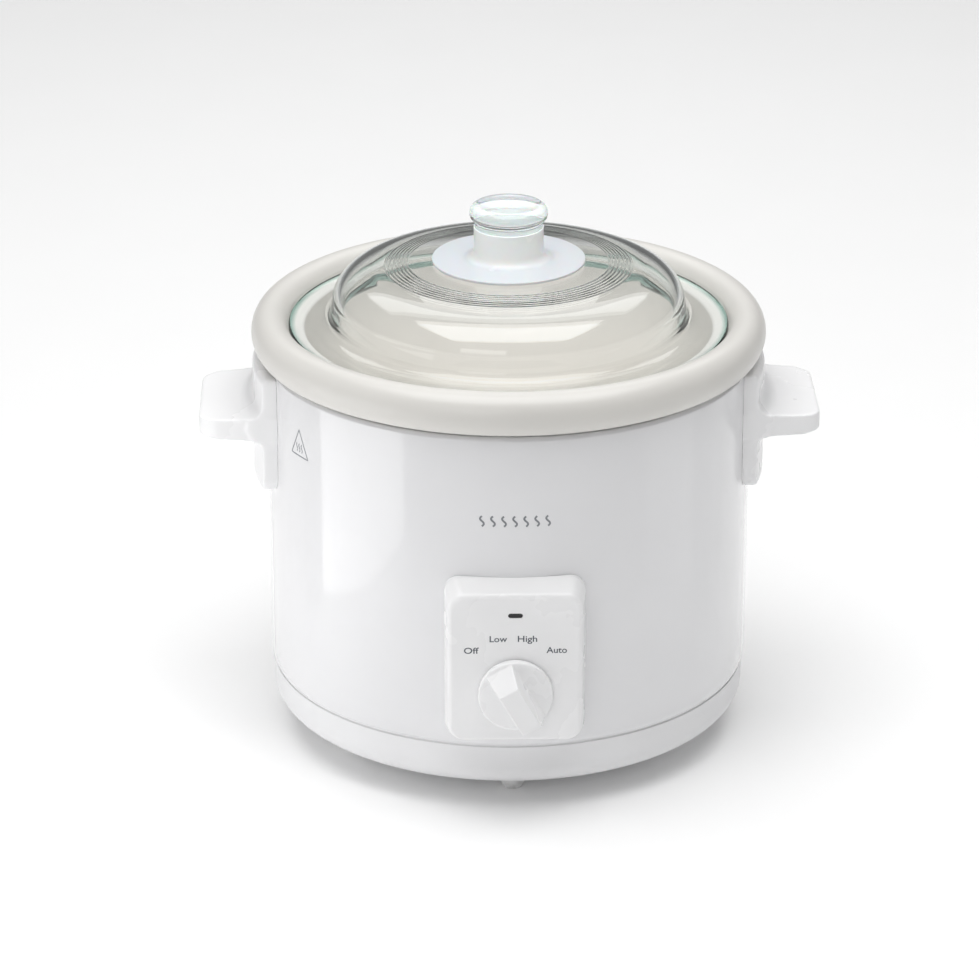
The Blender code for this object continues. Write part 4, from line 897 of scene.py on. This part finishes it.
def sculpted(mesh, cell, passes):
    """The mesh as one even skin of small cells, its edges and inner corners relaxed."""
    obj = rough_object(mesh)
    remesh = obj.modifiers.new("Remesh", "REMESH")
    remesh.mode = "VOXEL"
    remesh.voxel_size = cell
    relax = obj.modifiers.new("Smooth", "SMOOTH")
    relax.factor = 0.5
    relax.iterations = passes
    mesh = evaluated(obj)
    mesh.shade_smooth()
    return mesh


def body_cylinder(radius, bottom, top):
    """A plain cylinder on the pot's axis, to cut a piece that hugs the shell."""
    return spun([(0, top), (radius, top), (radius, bottom), (0, bottom)])


def side_handles():
    """A grip slab that tapers and falls outwards, run softly into the bracket that hugs the shell."""
    depth, width = GRIP_END - BODY_RADIUS, 2 * GRIP_HALF
    root, end, fall, narrowing = 14.5 * MM, 11 * MM, 2.1 * MM, 8 * MM
    top = BRACKET_TOP - 24.1 * MM
    outer = BODY_RADIUS + 8.1 * MM
    scoop, fillet = (outer + 9 * MM, top + 7 * MM), (outer + 5 * MM, top - root - 5 * MM)
    outline = rounded_outline(BODY_RADIUS * 0.9, GRIP_END, -width / 2, width / 2,
                              (0, 12 * MM, 12 * MM, 0))
    section = [
        (BODY_RADIUS * 0.8, BRACKET_TOP),
        (outer - 2 * MM, BRACKET_TOP),
        (outer, BRACKET_TOP - 2.5 * MM),
        (outer, scoop[1]),
        *arc(scoop, 9 * MM, 180, 262, 10, 8 * MM),
        (scoop[0], top - root / 2),
        (fillet[0], top - root - 0.2 * MM),
        *arc(fillet, 5 * MM, 95, 180, 8),
        (outer, BRACKET_BOTTOM + 3 * MM),
        (outer - 3 * MM, BRACKET_BOTTOM),
        (BODY_RADIUS * 0.8, BRACKET_BOTTOM),
    ]
    to_origin, past_bracket = Matrix.Translation((0, -AXIS_Y, 0)), (0.1, 0.3)
    for side, half_turn in (("right", 0), ("left", math.pi)):
        slab = plate(outline, root)
        for vertex in slab.vertices:
            share = (vertex.co.x - BODY_RADIUS) / depth
            vertex.co.y *= 1 - share * narrowing / width
            low = vertex.co.z < 0
            vertex.co.z += top - root / 2 + share * (root - end - fall if low else -fall)
        bracket = plate(rounded_outline(-width / 2, width / 2, BRACKET_BOTTOM, BRACKET_TOP,
                                        (10 * MM, 10 * MM, 2 * MM, 2 * MM)), BODY_RADIUS)
        turn = Matrix.Rotation(math.pi / 2, 4, "Z") @ Matrix.Rotation(math.pi / 2, 4, "X")
        moved(bracket, Matrix.Translation((BODY_RADIUS, 0, 0)) @ turn)
        ring = moved(spun(section, closed=True), to_origin)
        bracket = boolean(bracket, ring, operation="INTERSECT")
        grip = boolean(slab, bracket, operation="UNION")
        core, body = (moved(body_cylinder(radius, *past_bracket), to_origin)
                      for radius in (BODY_RADIUS - 5 * MM, BODY_RADIUS + 0.1 * MM))
        grip = even_normals(boolean(sculpted(boolean(grip, core), 0.9 * MM, 7), body))
        moved(grip, Matrix.Translation((0, AXIS_Y, 0)) @ Matrix.Rotation(half_turn, 4, "Z"))
        show("grip_" + side, grip, WHITE_MOULDING, "housing", "handle_" + side, slot="white_plastic")


def lofted(loops):
    """A closed solid through a row of loops with as many points each."""
    bm = bmesh.new()
    rings = [[bm.verts.new(place) for place in loop] for loop in loops]
    count = len(rings[0])
    for first, second in zip(rings, rings[1:]):
        for i in range(count):
            j = (i + 1) % count
            bm.faces.new((first[i], first[j], second[j], second[i]))
    bm.faces.new(rings[0])
    bm.faces.new(rings[-1])
    bmesh.ops.recalc_face_normals(bm, faces=bm.faces)
    return mesh_of(bm)


def panel_block(inset):
    """The panel's box with its skin moved inwards; its drafts start at the shell's surface."""
    slope, draft, corner, edge, edge_steps = 6.5 * MM, 2.2 * MM, 9.5 * MM, 2.4 * MM, 8
    depth, face = PANEL_FACE - BODY_RADIUS, PANEL_FACE - inset
    levels = [(BODY_RADIUS - depth - inset, 0.0), (BODY_RADIUS - 1.5 * MM, 0.0), (BODY_RADIUS, 0.0),
              (BODY_RADIUS + 1 * MM, 0.0)]
    for step in range(edge_steps + 1):
        angle = math.pi / 2 * step / edge_steps
        levels.append((face - edge * (1 - math.sin(angle)), edge * (1 - math.cos(angle))))
    loops = []
    for reach, drawn_in in levels:
        share = max(0.0, reach - BODY_RADIUS) / depth
        half = PANEL_HALF - inset - draft * share - drawn_in
        top = PANEL_TOP - inset - slope * share - drawn_in
        bottom = PANEL_BOTTOM + inset + draft * share + drawn_in
        outline = rounded_outline(-half, half, bottom, top, [corner - inset - drawn_in] * 4, 14)
        loops.append([on_axis(x, -reach, z) for x, z in outline])
    return lofted(loops)


def stadium(width, height):
    """A slot's outline, with round ends."""
    radius = height / 2
    reach = width / 2 - radius
    return arc((reach, 0), radius, -90, 90, 12) + arc((-reach, 0), radius, 90, 270, 12)


FRONT = Matrix.Rotation(math.pi / 2, 4, "X")  # turns local Z to -Y
SPINDLE_BORE = 3.3 * MM


def control_panel():
    """The hollow front moulding, open to the shell, and the dark window in its lamp slot."""
    wall, window_rim = 2.2 * MM, 1.8 * MM
    slot = moved(plate(stadium(8.4 * MM, 3 * MM), 30 * MM),
                 Matrix.Translation(on_axis(0, -PANEL_FACE, LENS_Z)) @ FRONT)
    spindle = rod(SPINDLE_BORE, on_axis(0, -BODY_RADIUS, DIAL_Z),
                  on_axis(0, -PANEL_FACE - 5 * MM, DIAL_Z), 32)
    body = body_cylinder(BODY_RADIUS + 0.15 * MM, 0, 0.25)
    mesh = boolean(panel_block(0), panel_block(wall), body, slot, spindle)
    show("panel_cover", even_normals(mesh), WHITE_MOULDING, "housing", "control_panel", slot="white_plastic")
    low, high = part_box("indicator_lens")
    wide, tall = high[0] - low[0] - 2 * window_rim, high[2] - low[2] - 2 * window_rim
    pin = moved(plate(stadium(wide, tall), 2.2 * MM),
                Matrix.Translation((0, low[1] + 1.5 * MM, LENS_Z)) @ FRONT)
    show("slot_window", smooth(pin), SMOKED, "housing", "indicator_lens", slot="smoked_lens")


def selector():
    """A disc with a tapered bar across it; the bar slopes down to its pointer's end."""
    radius = span("selector_knob", 0)[1]
    stand, disc, edge = 0.5 * MM, 4.4 * MM, 1.4 * MM
    reach = PANEL_FACE - DIAL_FRONT
    face = stand + disc
    inner = radius - edge
    profile = [(0, face), *bend((inner, face), (radius, face), (radius, face - edge), 5),
               (radius, stand), (0, stand)]
    knob = moved(spun(profile, facets=128), Matrix.Translation((0, -AXIS_Y, 0)))
    bm = bmesh.new()
    bmesh.ops.create_cube(bm, size=1.0)
    for vertex in bm.verts:
        x, y, z = vertex.co
        if z < 0:
            vertex.co = (math.copysign(8.5 * MM, x), math.copysign(inner, y), face - edge)
        else:
            vertex.co = (math.copysign(6 * MM, x), inner - 11.5 * MM if y > 0 else edge - inner, -reach)
    knob = sculpted(boolean(knob, mesh_of(bm), operation="UNION"), 0.4 * MM, 5)
    knob = boolean(knob, rod(SPINDLE_BORE, (0, 0, -1 * MM), (0, 0, 10.3 * MM), 32))
    at_off = Matrix.Rotation(math.radians(30), 4, "Z")
    knob = moved(knob, Matrix.Translation(on_axis(0, -PANEL_FACE, DIAL_Z)) @ FRONT @ at_off)
    show("selector_dial", even_normals(knob, 35), WHITE_MOULDING, "dial", "selector_knob",
         slot="white_plastic")


def inlet_gland():
    """The cord's bush: a rounded collar outside the shell and a barrel through it."""
    low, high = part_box("cord_gland")
    collar = (high[0] - low[0]) / 2
    inside, seat = low[1] - AXIS_Y, BODY_RADIUS + 0.3 * MM
    bore, barrel = 3.9 * MM, 6 * MM
    profile = [(bore, inside), (barrel, inside), (barrel, seat), (collar, seat),
               (collar, GLAND_END - 2 * MM), (collar - 2.2 * MM, GLAND_END), (bore, GLAND_END)]
    mesh = spun(soften(profile, 1 * MM, closed=True)[::-1], closed=True, facets=SMALL)
    moved(mesh, Matrix.Translation((0, AXIS_Y, GLAND_Z)) @ Matrix.Rotation(-math.pi / 2, 4, "X")
          @ Matrix.Translation((0, -AXIS_Y, 0)))
    show("inlet_bush", mesh, WHITE_MOULDING, "housing", "cord_gland", slot="white_plastic")


# ---------------------------------------------------------------- printed marks


PRINT = 0.04 * MM  # thickness of a print on the shell


def label(name, text, x, z, cap, width):
    """A printed word on the panel's face, made to a cap height and a width."""
    curve = bpy.data.curves.new(name, "FONT")
    curve.body = text
    curve.extrude = 0.02
    curve.offset = 0.012
    curve.resolution_u = 6
    mesh = evaluated(rough_object(curve))
    low = [min(v.co[k] for v in mesh.vertices) for k in range(3)]
    high = [max(v.co[k] for v in mesh.vertices) for k in range(3)]
    tall = max(v.co.y for v in mesh.vertices)
    sizes = (width / (high[0] - low[0]), cap / tall, 0.03 * MM / (high[2] - low[2]))
    middle = ((low[0] + high[0]) / 2, tall / 2, 0)
    spot = (Matrix.Translation(on_axis(x, -PANEL_FACE, z)) @ FRONT @ Matrix.Diagonal((*sizes, 1))
            @ Matrix.Translation([-m for m in middle]))
    show(name, moved(mesh, spot), INK, "housing")


def stroke(points, width):
    """A line of even width through points, as a flat strip with a little thickness."""
    left, right = [], []
    for i, here in enumerate(points):
        before, after = points[max(i - 1, 0)], points[min(i + 1, len(points) - 1)]
        along = (Vector(after) - Vector(before)).normalized() * width / 2
        left.append((here[0] - along[1], here[1] + along[0]))
        right.append((here[0] + along[1], here[1] - along[0]))
    return plate(right + left[::-1], PRINT)


def on_shell(meshes, angle, height):
    """Flat prints wrapped round the shell, centred at an angle from the front."""
    for mesh in meshes:
        for vertex in mesh.vertices:
            x, z, out = vertex.co
            turn = angle + x / BODY_RADIUS
            reach = BODY_RADIUS + PRINT + out
            vertex.co = on_axis(reach * math.sin(turn), -reach * math.cos(turn), height + z)
    bm = bmesh.new()
    for mesh in meshes:
        bm.from_mesh(mesh)
    bmesh.ops.recalc_face_normals(bm, faces=bm.faces)
    return mesh_of(bm)


def panel_labels():
    """The four settings round the selector, from Off on the left to Auto on the right."""
    cap, low, high = 3.7 * MM, 108.6 * MM, 115.6 * MM
    for text, x, z, width in (("Off", -24.8, low, 8.4), ("Low", -9.6, high, 9.9),
                              ("High", 6.8, high, 10.9), ("Auto", 23.3, low, 11.6)):
        label("label_" + text.lower(), text, x * MM, z, cap, width * MM)


def steam_mark():
    """A row of seven upright curls."""
    count, pitch, height, sway, steps = 7, 6.2 * MM, 6.2 * MM, 1.1 * MM, 14
    curls = []
    for i in range(count):
        middle = (i - (count - 1) / 2) * pitch
        curls.append(stroke([(middle + sway * math.sin(math.pi * 2 * t / steps), (t / steps - 0.5) * height)
                             for t in range(steps + 1)], 1.1 * MM))
    show("steam_mark", on_shell(curls, 0, 182 * MM), FAINT_INK, "housing")


def caution_mark():
    """A narrow triangle round three rising waves, for a hot surface."""
    side, tall, line, steps = 9 * MM, 16 * MM, 0.75 * MM, 16
    corners = [(-side, 0), (side, 0), (0, tall)]
    marks = []
    for first, second in zip(corners, corners[1:] + corners[:1]):
        marks.append(stroke([tuple(a + (b - a) * i / steps for a, b in zip(first, second))
                             for i in range(steps + 1)], line))
    foot, rise, pitch, sway, steps = 2.4 * MM, 5 * MM, 2.6 * MM, 0.6 * MM, 10
    for i in (-1, 0, 1):
        marks.append(stroke([(i * pitch + sway * math.sin(math.pi * 2 * t / steps), foot + rise * t / steps)
                             for t in range(steps + 1)], line))
    show("caution_mark", on_shell(marks, math.radians(-59), 195 * MM), FAINT_INK, "housing")


# ---------------------------------------------------------------- the rest of the frame's pieces


def dress_inner_pieces():
    """Inner pieces keep their own shape and get a finish."""
    dressed = {
        "rotary_switch": BAKELITE, "thermostat": BAKELITE, "terminal_block": BLACK_MOULDING,
        "lamp_holder": BLACK_MOULDING, "indicator_lamp": LAMP_GLASS, "heater_band": HEATER_SLEEVE,
        "wire_live": RED_SLEEVE, "wire_neutral": BLUE_SLEEVE, "wire_low": FIBRE_SLEEVE,
        "wire_high": FIBRE_SLEEVE, "wire_lamp": FIBRE_SLEEVE, "indicator_lens": SMOKED,
        "cord_gland": WHITE_MOULDING, "control_panel": WHITE_MOULDING,
        "selector_knob": WHITE_MOULDING, "handle_left": WHITE_MOULDING, "handle_right": WHITE_MOULDING,
    }
    for name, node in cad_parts.items():
        node.data.materials.clear()
        node.data.materials.append(dressed.get(name, ZINC))


camera()
studio()
dress_inner_pieces()
enamel_shell()
moulded_tray()
foot_pads()
liner_tub()
glazed_pot()
pressed_lid()
lid_seat_and_knob()
side_handles()
control_panel()
selector()
inlet_gland()
panel_labels()
steam_mark()
caution_mark()
